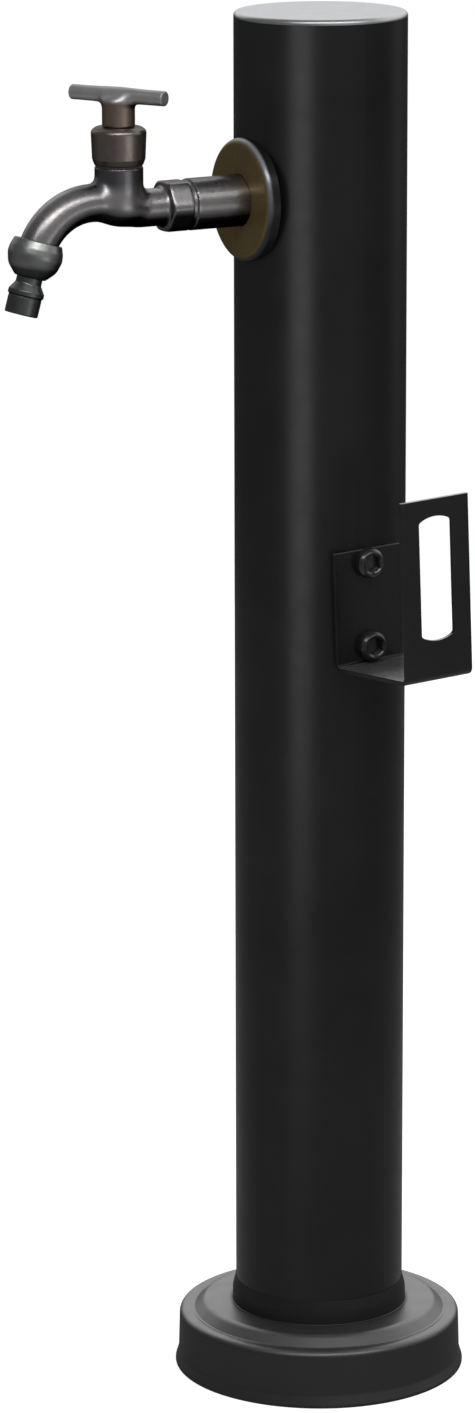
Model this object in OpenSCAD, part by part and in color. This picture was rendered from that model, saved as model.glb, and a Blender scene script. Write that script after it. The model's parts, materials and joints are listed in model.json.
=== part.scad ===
// Garden standpipe: a round floor-mounted column with a screw-down tap, a folded
// hose bracket and a loose spun cover over the base plate.
// Frame: origin on the column axis at ground level, +Z up, tap towards -Y,
// hose bracket towards +X. Drawn with the valve closed and the cover down.

/* [Column] */
// Outside diameter of the column tube
column_od = 76; // [70:1:84]
// Wall of the column tube
column_wall = 1.5; // [1:0.1:2.5]
// Height from the ground to the top of the cap
overall_height = 620; // [540:5:800]
// Thickness of the cap disc above the tube
cap_thickness = 2.5; // [2:0.1:5]
// Rounding of the cap's top edge
cap_edge = 1.2; // [0.4:0.1:1.8]
// Depth of the cap's plug inside the tube
cap_plug_depth = 12; // [6:1:20]
// Wall of the cap's plug
cap_plug_wall = 2; // [1:0.1:4]

/* [Base] */
// Diameter of the base plate
plate_od = 118; // [112:1:140]
// Thickness of the base plate
plate_thickness = 5; // [4:0.5:8]
// Height of the ring that locates the tube
spigot_height = 8; // [4:1:14]
// Wall of the locating ring
spigot_wall = 2.5; // [1.5:0.1:4]
// Pitch circle of the anchor holes
anchor_pcd = 97; // [95:0.5:99]
// Diameter of each anchor hole
anchor_hole_d = 9; // [6.6:0.2:11]
// Number of anchor holes
anchor_count = 4; // [3:1:6]

/* [Base cover] */
// How far the top of the cover's skirt stands out past the base plate
cover_room = 4.9; // [3:0.1:8]
// How far the skirt leans out from top to foot
cover_taper = 0.8; // [0.2:0.1:2]
// Radius of the rolled lip at the foot
cover_lip = 1.2; // [0.8:0.1:2]
// Height of the outer rim
cover_rim_height = 24.8; // [18:0.2:27]
// Rounding of the outer rim
cover_rim_edge = 2; // [1:0.1:3]
// Width of the flat band inside the rim
cover_band = 3.4; // [2:0.1:5]
// Depth of the groove inside the band
cover_groove = 0.9; // [0.4:0.1:1.5]
// Radial width of the slope up to the raised middle
cover_slope = 3.8; // [2:0.1:5]
// Height of the raised middle above the rim
cover_step = 4.2; // [2:0.1:8]
// Height of the neck above the raised middle
cover_neck = 12; // [6:0.5:20]
// Fillet at the foot of the neck
cover_fillet = 2; // [1:0.1:3]
// Sheet thickness of the cover
cover_wall = 1.2; // [0.8:0.1:1.5]

/* [Inlet and riser] */
// Minor diameter of the threaded inlet socket
inlet_thread_d = 18.6; // [16:0.1:19]
// Depth of the threaded inlet socket
inlet_depth = 14; // [10:0.5:18]
// Diameter of the inlet body in the base plate
inlet_spigot_d = 30; // [26:0.5:34]
// Width across flats of the inlet's hexagon
inlet_hex = 36; // [35:0.5:40]
// Height of the inlet's hexagon
inlet_hex_height = 12; // [10:0.5:18]
// Outside diameter of the riser pipe
riser_od = 15; // [12:0.5:16]
// Wall of the riser pipe
riser_wall = 1; // [0.7:0.1:1.5]
// How far the riser goes into each fitting
riser_insert = 12; // [8:0.5:14]
// Diameter of the fittings' thread for the nuts
fitting_thread_d = 22; // [20:0.5:24]
// Length of that thread
fitting_thread = 12; // [11:0.5:16]
// Width across flats of the compression nuts
nut_hex = 27; // [26:0.5:32]
// Length of thread that a nut covers
nut_grip = 10; // [6:0.5:10.5]
// Length of the compression olive
olive_length = 6; // [4:0.5:8]
// Thickness of the compression olive
olive_wall = 1.8; // [1:0.1:2.2]
// Thickness of the nut's end
nut_lip = 2.6; // [1.5:0.1:4]
// Wall of the elbow around the tap's tail
elbow_wall = 3; // [2:0.1:4]
// Step of the elbow above the nut's thread
elbow_step = 1.5; // [1:0.1:3]
// Length of the elbow's leg below its round body
elbow_leg = 2; // [1:0.1:6]

/* [Tap body] */
// Distance from the top of the cap down to the tap's inlet axis
tap_drop = 80; // [50:1:160]
// Thickness of the saddle ring outside the column
outer_saddle = 1.5; // [1:0.1:3]
// Thickness of the saddle ring inside the column
inner_saddle = 3.5; // [3:0.1:5]
// Outside diameter of both saddle rings
saddle_od = 28; // [26:0.5:30]
// Diameter of the tap's tail thread
tail_thread_d = 20.8; // [19:0.1:22]
// Length of tail thread inside the elbow
tail_engagement = 14; // [10:0.5:18]
// Diameter of the smooth shank behind the hexagon
shank_d = 22.6; // [21.5:0.1:26]
// Length of the smooth shank
shank_length = 27; // [18:0.5:40]
// Width across flats of the tap's hexagon
tap_hex = 21.6; // [21:0.1:26]
// Diameter that the hexagon's corners are turned down to
tap_hex_turned = 23.4; // [23:0.1:27]
// Length of the tap's hexagon
tap_hex_length = 10.5; // [8:0.5:16]
// Width of the groove between shank and hexagon
tap_groove = 1.8; // [1:0.1:3]
// Diameter of the round stretch before the valve
barrel_d = 16.4; // [15:0.1:19]
// Distance from the hexagon to the valve axis
barrel_length = 20.9; // [19:0.1:30]
// Diameter of the inlet waterway
waterway_d = 9; // [7:0.5:10]
// Diameter of the valve neck
neck_d = 21; // [20:0.5:24]
// Height of the valve neck above the inlet axis
neck_height = 18.8; // [17:0.1:24]
// Radius of the fillet between barrel and neck
neck_fillet = 5; // [3:0.5:6]

/* [Rosette] */
// Diameter of the rosette
rosette_d = 54; // [46:1:60]
// How far its face stands off the column
rosette_standoff = 3.2; // [2.5:0.1:6]
// How far its rim reaches back past the column's front
rosette_overlap = 2.8; // [1:0.1:4]
// Rounding of its front edge
rosette_edge = 3; // [1.5:0.1:3.5]
// Sheet thickness of the rosette
rosette_wall = 1.2; // [0.8:0.1:1.6]

/* [Valve] */
// Height of the valve seat above the inlet axis
seat_height = 6.4; // [6:0.1:7]
// Diameter of the hole in the seat
seat_d = 8; // [6:0.2:9]
// Diameter of the valve chamber
chamber_d = 15.6; // [15:0.2:17]
// How far the valve washer lifts from closed to open
valve_lift = 4; // [2:0.1:5]
// Thickness of the rubber valve washer
valve_washer = 3; // [2:0.1:4]
// Diameter of the rubber valve washer
valve_washer_d = 12.6; // [11:0.2:14]
// Diameter of the jumper's stem
jumper_stem_d = 5; // [4.4:0.1:6]
// Length of the jumper's stem
jumper_stem = 12; // [8:0.5:16]
// Thickness of the jumper's plate
jumper_plate = 1.4; // [1:0.1:2]
// How far the jumper's plate stands out past the washer
jumper_rim = 0.3; // [0.1:0.1:0.5]
// Thread diameter of the washer's screw
washer_screw_d = 3; // [2:0.1:3.4]
// Diameter of the spindle
spindle_d = 10; // [9:0.2:12]
// Thickness of the bonnet's sealing washer
bonnet_washer = 1; // [0.6:0.1:2]
// Height of the bonnet above its washer
bonnet_height = 16.2; // [14:0.2:24]
// Diameter of the bonnet at its top
bonnet_d = 24; // [23.2:0.2:28]
// How much the bonnet narrows towards its foot
bonnet_taper = 1; // [0.2:0.1:2]
// Rounding of the bonnet's top edge
bonnet_edge = 2.2; // [1:0.1:3]
// Length of the bonnet's thread in the neck
bonnet_thread = 7; // [5:0.5:7.2]
// Depth of the bonnet's thread outside the chamber
bonnet_thread_depth = 0.6; // [0.4:0.1:0.8]
// Section diameter of the spindle's seal rings
seal_section = 1.6; // [1.2:0.1:2]
// Width of the spindle between the seal rings
seal_land = 2; // [1:0.1:3]

/* [Handle] */
// Length of the T-bar
bar_length = 47.6; // [36:0.1:80]
// Diameter of the T-bar
bar_d = 6.5; // [5:0.1:9]
// Height of the bar's axis above the bonnet
bar_rise = 13.4; // [11:0.1:20]
// Diameter of the handle's hub
hub_d = 14.2; // [13.6:0.2:18]
// Reach of the flare between hub and bar
hub_flare = 3; // [1.5:0.1:5]
// Gap between hub and bonnet with the valve closed
hub_gap = 0.4; // [0.3:0.1:1]
// Diameter of the spindle's end in the hub
spindle_end_d = 8; // [6:0.2:8.6]
// Length of the spindle's end in the hub
spindle_end = 9.5; // [7:0.5:10]
// Diameter of the handle's set screw
set_screw_d = 4; // [3:0.5:5]
// Turn of the closed T-bar from the +X direction, in degrees
bar_turn = 28.5; // [0:0.5:90]

/* [Spout and outlet] */
// Outside diameter of the spout
spout_d = 16.4; // [15.6:0.2:20]
// Bore of the spout
spout_bore = 11; // [8:0.5:12]
// Height of the spout's crown above the inlet axis
spout_rise = 4; // [2:0.1:5]
// Distance from the valve axis to the start of the bend
spout_start = 13.4; // [12:0.1:20]
// Bend radius of the spout's centre line
spout_bend = 28.4; // [24:0.2:40]
// Angle that the spout turns through, in degrees
spout_turn = 74; // [60:1:90]
// Largest diameter of the union nut
union_d = 24; // [23.4:0.2:28]
// Length of the union nut from collar to widest point
union_shoulder = 6.2; // [5:0.2:8]
// Length of the union nut from widest point to neck
union_tail = 9.6; // [9:0.2:14]
// Wall of the union nut at its two mouths
union_mouth = 0.8; // [0.5:0.1:1.2]
// Thickness of the seal under the nozzle's flange
outlet_seal = 1.5; // [1:0.1:2]
// Thickness of the nozzle's flange
nozzle_flange = 2; // [1.5:0.1:2.5]
// Diameter of the nozzle's neck
nozzle_neck_d = 11.2; // [10:0.2:12]
// Diameter of the nozzle's shoulder
nozzle_d = 15.6; // [14.8:0.2:18]
// Diameter of the nozzle's hose end
nozzle_mouth_d = 14.5; // [13:0.1:14.6]
// Bore of the nozzle
nozzle_bore = 8; // [6:0.2:9]
// Length of the neck between nut and collar
nozzle_neck = 3; // [2:0.2:6]
// Length of the cone up to the shoulder
nozzle_cone = 3.2; // [2:0.2:6]
// Length of the shoulder and the step below it
nozzle_shoulder = 2; // [1.2:0.2:4]
// Length of the hose end
nozzle_length = 8; // [6:0.2:16]

/* [Hose bracket] */
// Width of the folded sheet
bracket_w = 34.4; // [28:0.2:44]
// Sheet thickness of the bracket
bracket_sheet = 2; // [1.5:0.1:3]
// Inside radius of the folds
bracket_bend = 1.5; // [0.5:0.1:2]
// Turn of the bracket about the column from the +X direction, in degrees
bracket_turn = 2.5; // [-20:0.5:40]
// Lean of the bracket on its screws, in degrees
bracket_lean = 2.3; // [-4:0.1:4]
// Height of the shelf above the ground where it leaves the mounting plate
shelf_height = 337.2; // [250:0.2:380]
// Rise of the shelf towards the end plate, in degrees
shelf_slope = 4.7; // [0:0.1:10]
// Distance from the mounting plate's face to the end plate's outer face
shelf_depth = 55; // [40:1:90]
// Height of the mounting plate above the shelf
mount_plate = 51; // [46:0.5:70]
// Height of the end plate's top above the shelf at the mounting plate
end_plate = 83.2; // [68:0.2:100]
// Width of the slot in the end plate
slot_w = 16.6; // [10:0.2:20]
// Height of the slot
slot_h = 57; // [36:0.5:58]
// Distance from the top of the end plate to the slot
slot_drop = 7.8; // [5:0.2:14]
// Radius of the slot's rounded ends
slot_end_r = 16; // [10.5:0.5:20]
// Distance of the upper screw below the plate's top
screw_drop = 6; // [6:0.1:10]
// Distance of the lower screw above the shelf
screw_lift = 7.6; // [7.6:0.1:12]
// Thread diameter of the bracket screws
screw_d = 6; // [5:0.5:7]
// Diameter of the screw heads
screw_head_d = 11.8; // [10:0.2:11.8]
// Height of the screw heads
screw_head = 3.6; // [3:0.1:5]
// Length of the screws under the head
screw_length = 14; // [10:0.5:18]
// Outside diameter of the blind rivet nuts
rivet_nut_d = 9; // [8.6:0.2:11]
// Length of the blind rivet nuts
rivet_nut_length = 13; // [10:0.5:18]
// Diameter of the nuts' crimped collar
rivet_collar_d = 12.4; // [12:0.2:15]

/* [Fits] */
// Gap between the sliding cover and the column
cover_fit = 0.4; // [0.3:0.05:0.6]
// Radial gap of turning and sliding valve pieces
run_fit = 0.08; // [0.04:0.01:0.1]
// Gap between pieces that are assembled and stay put
seat_fit = 0.05; // [0.02:0.01:0.1]
// Radial gap of a screw or pipe in a clear hole
hole_fit = 0.3; // [0.15:0.05:0.5]
// Gap at the end of a blind hole
end_gap = 0.3; // [0.2:0.05:1]

/* [Hidden] */

$fn = 64;
arc_steps = 8;
hex_sides = 6;
over = 1;

black_coat = "#1c1c1d";
cover_coat = "#202022";
light_metal = "#c9cac9";
plate_steel = "#8d9094";
bronze = "#6b615a";
rosette_bronze = "#463e28";
dark_bronze = "#45433f";
brass = "#b5934e";
steel = "#a9acae";
black_steel = "#26272a";
rubber = "#17181a";
plastic = "#2c2d2f";
fibre = "#7a3b2c";

// Column and base
column_r = column_od / 2;
column_bore_r = column_r - column_wall;
tube_top = overall_height - cap_thickness;
tap_height = overall_height - tap_drop;
spigot_r = column_bore_r - seat_fit;
cover_bore_r = column_r + cover_fit;
cover_neck_r = cover_bore_r + cover_wall;
cover_rim_r = plate_od / 2 + cover_room;
cover_foot_r = cover_rim_r + cover_taper;
cover_lip_r = cover_foot_r + cover_lip;
cover_groove_r = cover_rim_r - cover_rim_edge - cover_band;
cover_middle_r = cover_groove_r - cover_slope;
cover_middle_z = cover_rim_height + cover_step;
cover_neck_z = cover_middle_z + cover_neck;
cover_under_z = cover_rim_height - cover_groove - cover_wall;

// Inlet fitting, riser and elbow
inlet_hex_z = plate_thickness + inlet_hex_height;
inlet_top_z = inlet_hex_z + fitting_thread;
riser_r = riser_od / 2;
riser_bore_r = riser_r - riser_wall;
elbow_r = tail_thread_d / 2 + elbow_wall;
elbow_leg_r = fitting_thread_d / 2 + elbow_step;
elbow_shoulder_z = tap_height - elbow_r - elbow_leg;
elbow_end_z = elbow_shoulder_z - fitting_thread;
elbow_face = column_bore_r - inner_saddle;
riser_low_z = inlet_top_z - riser_insert;
riser_high_z = elbow_end_z + riser_insert;
socket_slack = 0.5;

// Stations along the tap axis, measured from the column axis
shoulder_at = column_r + outer_saddle;
tail_end_at = elbow_face - tail_engagement;
groove_at = shoulder_at + shank_length;
hex_at = groove_at + tap_groove;
barrel_at = hex_at + tap_hex_length;
valve_at = barrel_at + barrel_length;
bend_at = valve_at + spout_start;
waterway_end_at = valve_at + seat_d / 2 + over;
rosette_front = column_r + rosette_standoff;
rosette_back = column_r - rosette_overlap;

// Heights of the valve above the inlet axis
washer_low = seat_height + seat_fit;
plate_low = washer_low + valve_washer;
stem_low = plate_low + jumper_plate;
bonnet_foot = neck_height + bonnet_washer;
bonnet_top = bonnet_foot + bonnet_height;
bonnet_thread_r = chamber_d / 2 + bonnet_thread_depth;
thread_floor = neck_height - bonnet_thread;
spindle_low = stem_low + end_gap;
hub_foot = bonnet_top + hub_gap;
bar_z = bonnet_top + bar_rise;
jumper_plate_r = valve_washer_d / 2 + jumper_rim;
seal_groove_r = spindle_d / 2 - seal_section + run_fit / 2;
seal_pitch = seal_section + seal_land;

// Spout bend and outlet
bend_centre_z = tap_height + spout_rise - spout_bend;
outlet_y = -(bend_at + spout_bend * sin(spout_turn));
outlet_z = bend_centre_z + spout_bend * cos(spout_turn);
bend_inside = spout_bend - spout_d / 2;
bend_reach = spout_bend - sqrt(bend_inside * bend_inside - union_shoulder * union_shoulder);
union_bore_r = bend_reach + hole_fit;
flange_r = union_bore_r - hole_fit;
flange_low = outlet_seal;
flange_high = flange_low + nozzle_flange;
collar_at = union_tail + nozzle_neck;
shoulder_low = collar_at + nozzle_cone;
mouth_at = shoulder_low + nozzle_shoulder + nozzle_length;

// Hose bracket
bracket_fold = bracket_bend + bracket_sheet;
bracket_back = column_r + seat_fit;
bracket_face = bracket_back + bracket_sheet;
bracket_end = bracket_face + shelf_depth;
end_inside = bracket_end - bracket_sheet;
mount_top = shelf_height + mount_plate;
end_top = shelf_height + end_plate;
slot_top = end_top - slot_drop;
slot_mid = slot_top - slot_h / 2;
slot_sagitta = slot_end_r - sqrt(slot_end_r * slot_end_r - slot_w * slot_w / 4);
screw_heights = [shelf_height + screw_lift, mount_top - screw_drop];
bracket_pivot = (screw_heights[0] + screw_heights[1]) / 2;
screw_aside = (screw_heights[1] - bracket_pivot) * abs(sin(bracket_lean));

// Points of an arc about c, from angle a0 to a1
function arc(c, r, a0, a1, steps = arc_steps) =
    [for (i = [0:steps]) let (a = a0 + (a1 - a0) * i / steps) c + r * [cos(a), sin(a)]];

// Radius of an arc that falls back by "drop" over a length "along" from its crown
function bulge_radius(drop, along) = (drop * drop + along * along) / 2 / drop;

// Moves a shape drawn along +Z onto the tap's inlet axis, "at" from the column axis
module on_tap_axis(at = 0) {
    translate([0, 0, tap_height]) rotate([90, 0, 0]) translate([0, 0, at]) children();
}

// Moves a shape drawn along +Z onto the valve axis, "up" above the inlet axis
module on_valve_axis(up = 0) {
    translate([0, -valve_at, tap_height + up]) children();
}

// Moves a shape drawn along +Z onto the outlet axis, "at" past the end of the spout's bend
module on_outlet_axis(at = 0) {
    translate([0, outlet_y, outlet_z]) rotate([90 + spout_turn, 0, 0]) translate([0, 0, at]) children();
}

// Turns a bracket drawn upright along +X to its place on the column, leaning about its screws' middle
module on_bracket() {
    rotate(bracket_turn) translate([0, 0, bracket_pivot]) rotate([bracket_lean, 0, 0])
        translate([0, 0, -bracket_pivot]) children();
}

// Moves a shape drawn along +Z onto each bracket screw's axis, "at" from the column axis
module on_screw_axes(at = 0) {
    for (z = screw_heights) on_bracket() translate([at, 0, z]) rotate([0, 90, 0]) children();
}

// Height of the shelf's top, "at" from the column axis
function shelf_top(at) = shelf_height + (at - bracket_face) * tan(shelf_slope);

// Flat ring standing on z = 0
module ring(outer_r, inner_r, height) {
    difference() {
        cylinder(r = outer_r, h = height);
        translate([0, 0, -over]) cylinder(r = inner_r, h = height + 2 * over);
    }
}

// Hexagonal prism with both ends chamfered, and its corners turned down to a diameter
module chamfered_hex(flats, height, turned_d = 0, chamfer = 30) {
    corner_r = flats / 2 / cos(180 / hex_sides);
    turned_r = turned_d > 0 ? turned_d / 2 : corner_r;
    drop = (turned_r - flats / 2) * tan(chamfer);
    intersection() {
        cylinder(r = corner_r, h = height, $fn = hex_sides);
        rotate_extrude()
            polygon([[0, 0], [flats / 2, 0], [turned_r, drop], [turned_r, height - drop],
                     [flats / 2, height], [0, height]]);
    }
}

// Part of a bent round bar along the spout, "grow" longer than the bend at both ends
module spout_sweep(r, grow) {
    translate([0, -bend_at, bend_centre_z]) rotate([180, -90, 0])
        rotate_extrude(angle = spout_turn) translate([spout_bend, 0]) circle(r = r);
    translate([0, -bend_at + grow, tap_height + spout_rise]) rotate([90, 0, 0]) cylinder(r = r, h = grow);
}

// Compression nut: thread below z = 0, olive chamber above it
module compression_nut() {
    difference() {
        translate([0, 0, -nut_grip]) chamfered_hex(nut_hex, nut_grip + olive_length + nut_lip);
        translate([0, 0, -nut_grip - over])
            cylinder(r = fitting_thread_d / 2 + seat_fit, h = nut_grip + over);
        translate([0, 0, -seat_fit])
            cylinder(r = riser_r + olive_wall + 2 * seat_fit, h = olive_length + 2 * seat_fit);
        cylinder(r = riser_r + hole_fit, h = olive_length + nut_lip + over);
    }
}

// Compression olive: a barrel-shaped ring that bites on the riser
module olive() {
    inner = riser_r + seat_fit;
    outer = riser_r + olive_wall;
    slope = olive_length / 3;
    end_r = outer - olive_wall / 2;
    rotate_extrude()
        polygon([[inner, 0], [end_r, 0], [outer, slope], [outer, olive_length - slope],
                 [end_r, olive_length], [inner, olive_length]]);
}

module column_tube() {
    color(black_coat) difference() {
        translate([0, 0, plate_thickness])
            ring(column_r, column_bore_r, tube_top - plate_thickness);
        on_tap_axis() cylinder(r = tail_thread_d / 2 + hole_fit, h = column_od);
        on_screw_axes() cylinder(r = rivet_nut_d / 2 + seat_fit, h = column_od);
    }
}

module top_cap() {
    plug_r = column_bore_r - seat_fit;
    plug_z = tube_top - cap_plug_depth;
    lead = cap_plug_wall / 2;
    color(light_metal) rotate_extrude()
        polygon(concat(
            [[0, tube_top], [plug_r - cap_plug_wall, tube_top], [plug_r - cap_plug_wall, plug_z],
             [plug_r - lead, plug_z], [plug_r, plug_z + lead], [plug_r, tube_top], [column_r, tube_top]],
            arc([column_r - cap_edge, overall_height - cap_edge], cap_edge, 0, 90),
            [[0, overall_height]]));
}

module base_plate() {
    color(plate_steel) difference() {
        union() {
            cylinder(d = plate_od, h = plate_thickness);
            cylinder(r = spigot_r, h = plate_thickness + spigot_height);
        }
        translate([0, 0, plate_thickness])
            cylinder(r = spigot_r - spigot_wall, h = spigot_height + over);
        translate([0, 0, -over])
            cylinder(r = inlet_spigot_d / 2 + seat_fit, h = plate_thickness + 2 * over);
        for (i = [0:anchor_count - 1]) rotate(180 / anchor_count + i * 360 / anchor_count)
            translate([anchor_pcd / 2, 0, -over]) cylinder(d = anchor_hole_d, h = plate_thickness + 2 * over);
    }
}

// Spun cup: lip, leaning skirt, rounded rim, groove, raised middle and neck
module base_cover() {
    foot_z = cover_wall + cover_lip;
    outside = concat(
        [[cover_lip_r, 0]],
        arc([cover_lip_r, foot_z], cover_lip, 270, 180),
        arc([cover_rim_r - cover_rim_edge, cover_rim_height - cover_rim_edge], cover_rim_edge, 0, 90),
        [[cover_groove_r + cover_groove, cover_rim_height],
         [cover_groove_r, cover_rim_height - cover_groove],
         [cover_middle_r, cover_middle_z]],
        arc([cover_neck_r + cover_fillet, cover_middle_z + cover_fillet], cover_fillet, 270, 180),
        [[cover_neck_r, cover_neck_z]]);
    inside = [
        [cover_bore_r, cover_neck_z],
        [cover_bore_r, cover_middle_z - cover_wall],
        [cover_middle_r - cover_wall / 2, cover_middle_z - cover_wall],
        [cover_groove_r - cover_wall / 2, cover_under_z],
        [cover_rim_r - cover_wall - cover_rim_edge, cover_under_z],
        [cover_rim_r - cover_wall, cover_under_z - cover_rim_edge / 2],
        [cover_foot_r - cover_wall, foot_z],
        [cover_foot_r - cover_wall, 0]
    ];
    color(cover_coat) rotate_extrude($fn = 128) polygon(concat(outside, inside));
}

module inlet_socket() {
    color(brass) difference() {
        union() {
            cylinder(d = inlet_spigot_d, h = plate_thickness);
            translate([0, 0, plate_thickness]) chamfered_hex(inlet_hex, inlet_hex_height);
            cylinder(d = fitting_thread_d, h = inlet_top_z);
        }
        translate([0, 0, -over]) cylinder(d = inlet_thread_d, h = inlet_depth + over);
        cylinder(r = riser_bore_r, h = inlet_top_z);
        translate([0, 0, riser_low_z - socket_slack])
            cylinder(r = riser_r + seat_fit, h = riser_insert + socket_slack + over);
    }
}

module lower_olive() {
    color(brass) translate([0, 0, inlet_top_z]) olive();
}

module lower_nut() {
    color(brass) translate([0, 0, inlet_top_z]) compression_nut();
}

module riser_pipe() {
    color(steel) translate([0, 0, riser_low_z])
        ring(riser_r, riser_bore_r, riser_high_z - riser_low_z);
}

module upper_olive() {
    color(brass) translate([0, 0, elbow_end_z]) mirror([0, 0, 1]) olive();
}

module upper_nut() {
    color(brass) translate([0, 0, elbow_end_z]) mirror([0, 0, 1]) compression_nut();
}

// Elbow that turns the riser towards the tap, clamped to the wall by the tap's tail
module tap_elbow() {
    color(brass) difference() {
        union() {
            translate([0, 0, tap_height]) sphere(r = elbow_r);
            on_tap_axis() cylinder(r = elbow_r, h = elbow_face);
            translate([0, 0, elbow_shoulder_z]) cylinder(r = elbow_leg_r, h = tap_height - elbow_shoulder_z);
            translate([0, 0, elbow_end_z]) cylinder(d = fitting_thread_d, h = fitting_thread + over);
        }
        on_tap_axis(tail_end_at - socket_slack)
            cylinder(r = tail_thread_d / 2 + seat_fit, h = tail_engagement + socket_slack + over);
        on_tap_axis() cylinder(r = riser_bore_r, h = elbow_face);
        translate([0, 0, tap_height]) sphere(r = riser_bore_r);
        translate([0, 0, elbow_end_z]) cylinder(r = riser_bore_r, h = tap_height - elbow_end_z);
        translate([0, 0, elbow_end_z - over])
            cylinder(r = riser_r + seat_fit, h = riser_insert + socket_slack + over);
    }
}

module inner_saddle_ring() {
    color(plastic) intersection() {
        on_tap_axis(elbow_face) ring(saddle_od / 2, tail_thread_d / 2 + hole_fit, column_od, $fn = 256);
        cylinder(r = column_bore_r - seat_fit, h = overall_height, $fn = 256);
    }
}

module outer_saddle_ring() {
    color(plastic) difference() {
        on_tap_axis() ring(saddle_od / 2, tail_thread_d / 2 + hole_fit, shoulder_at, $fn = 256);
        cylinder(r = column_r + seat_fit, h = overall_height, $fn = 256);
    }
}

// Cup rosette whose rim is notched to straddle the column
module rosette() {
    rim_r = rosette_d / 2;
    hole_r = shank_d / 2 + seat_fit;
    edge = [rim_r - rosette_edge, rosette_front - rosette_edge];
    color(rosette_bronze) difference() {
        on_tap_axis() rotate_extrude()
            polygon(concat(
                [[hole_r, rosette_front]],
                arc(edge, rosette_edge, 90, 0),
                [[rim_r, rosette_back], [rim_r - rosette_wall, rosette_back]],
                arc(edge, rosette_edge - rosette_wall, 0, 90),
                [[hole_r, rosette_front - rosette_wall]]));
        cylinder(r = column_r + seat_fit, h = overall_height);
    }
}

// Cast body: tail, shank, hexagon, barrel, valve neck and bent spout, with its waterways
module tap_body() {
    barrel_r = barrel_d / 2;
    neck_r = neck_d / 2;
    fillet_sink = 1;
    fillet_at = valve_at - neck_r - neck_fillet + fillet_sink;
    fillet_end = 120;
    passage_at = valve_at + chamber_d / 2 - over;
    passage_z = seat_height + spout_bore / 8;
    vault_r = neck_r + hole_fit;
    vault_rise = vault_r - barrel_r + hole_fit;
    color(bronze) difference() {
        union() {
            on_tap_axis(tail_end_at) cylinder(d = tail_thread_d, h = hex_at - tail_end_at);
            on_tap_axis(shoulder_at) cylinder(d = shank_d, h = shank_length);
            on_tap_axis(hex_at) chamfered_hex(tap_hex, tap_hex_length, tap_hex_turned);
            on_tap_axis(barrel_at - over) cylinder(r = barrel_r, h = barrel_length + over);
            intersection() {
                union() {
                    on_valve_axis(-barrel_r) cylinder(r = neck_r, h = barrel_r + neck_height);
                    on_tap_axis() rotate_extrude()
                        polygon(concat(
                            [[0, fillet_at], [barrel_r, fillet_at]],
                            arc([barrel_r + neck_fillet, fillet_at], neck_fillet, 180, fillet_end),
                            [[0, fillet_at + neck_fillet * sin(fillet_end)]]));
                }
                translate([0, 0, vault_rise]) union() {
                    on_tap_axis(valve_at - neck_d) cylinder(r = vault_r, h = 2 * neck_d);
                    on_valve_axis() cylinder(r = neck_d, h = neck_height);
                }
            }
            spout_sweep(spout_d / 2, spout_start);
        }
        on_tap_axis(tail_end_at - over)
            cylinder(d = waterway_d, h = waterway_end_at - tail_end_at + over);
        on_valve_axis() cylinder(d = seat_d, h = seat_height + over);
        on_valve_axis(seat_height) cylinder(d = chamber_d, h = neck_height);
        on_valve_axis(thread_floor) cylinder(r = bonnet_thread_r, h = neck_height);
        on_tap_axis(passage_at) translate([0, passage_z, 0])
            cylinder(d = spout_bore / 2, h = bend_at - passage_at);
        spout_sweep(spout_bore / 2, over);
    }
}

module bonnet_washer_ring() {
    color(fibre) on_valve_axis(neck_height)
        ring(neck_d / 2 - hole_fit, bonnet_thread_r + seat_fit, bonnet_washer);
}

// Barrel-shaped bonnet with a threaded foot and a bore for the spindle
module bonnet() {
    top_r = bonnet_d / 2;
    foot_r = top_r - bonnet_taper / 2;
    cone = bonnet_edge;
    lift_room = stem_low + valve_lift + over - thread_floor;
    color(bronze) on_valve_axis() difference() {
        rotate_extrude()
            polygon(concat(
                [[0, thread_floor + seat_fit], [bonnet_thread_r - seat_fit, thread_floor + seat_fit],
                 [bonnet_thread_r - seat_fit, bonnet_foot], [neck_d / 2, bonnet_foot],
                 [foot_r, bonnet_foot + cone]],
                arc([top_r - bonnet_edge, bonnet_top - bonnet_edge], bonnet_edge, 0, 90),
                [[0, bonnet_top]]));
        translate([0, 0, thread_floor - over])
            cylinder(r = spindle_d / 2 + run_fit, h = bonnet_top - thread_floor + 2 * over);
        translate([0, 0, thread_floor - over])
            cylinder(r = jumper_plate_r + hole_fit, h = lift_room + over);
    }
}

module spindle() {
    color(brass) on_valve_axis() difference() {
        union() {
            translate([0, 0, spindle_low]) cylinder(d = spindle_d, h = hub_foot - spindle_low);
            cylinder(d = spindle_end_d, h = hub_foot + spindle_end);
        }
        cylinder(d = spindle_d + over, h = spindle_low);
        cylinder(r = jumper_stem_d / 2 + run_fit, h = stem_low + jumper_stem + over);
        for (i = [1, 2]) translate([0, 0, bonnet_top - i * seal_pitch - seal_section / 2])
            ring(spindle_d, seal_groove_r - seat_fit, seal_section + 2 * seat_fit);
    }
}

module spindle_seals() {
    color(rubber) on_valve_axis()
        for (i = [1, 2]) translate([0, 0, bonnet_top - i * seal_pitch + seat_fit])
            rotate_extrude() translate([seal_groove_r + seal_section / 2, 0]) circle(d = seal_section);
}

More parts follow.
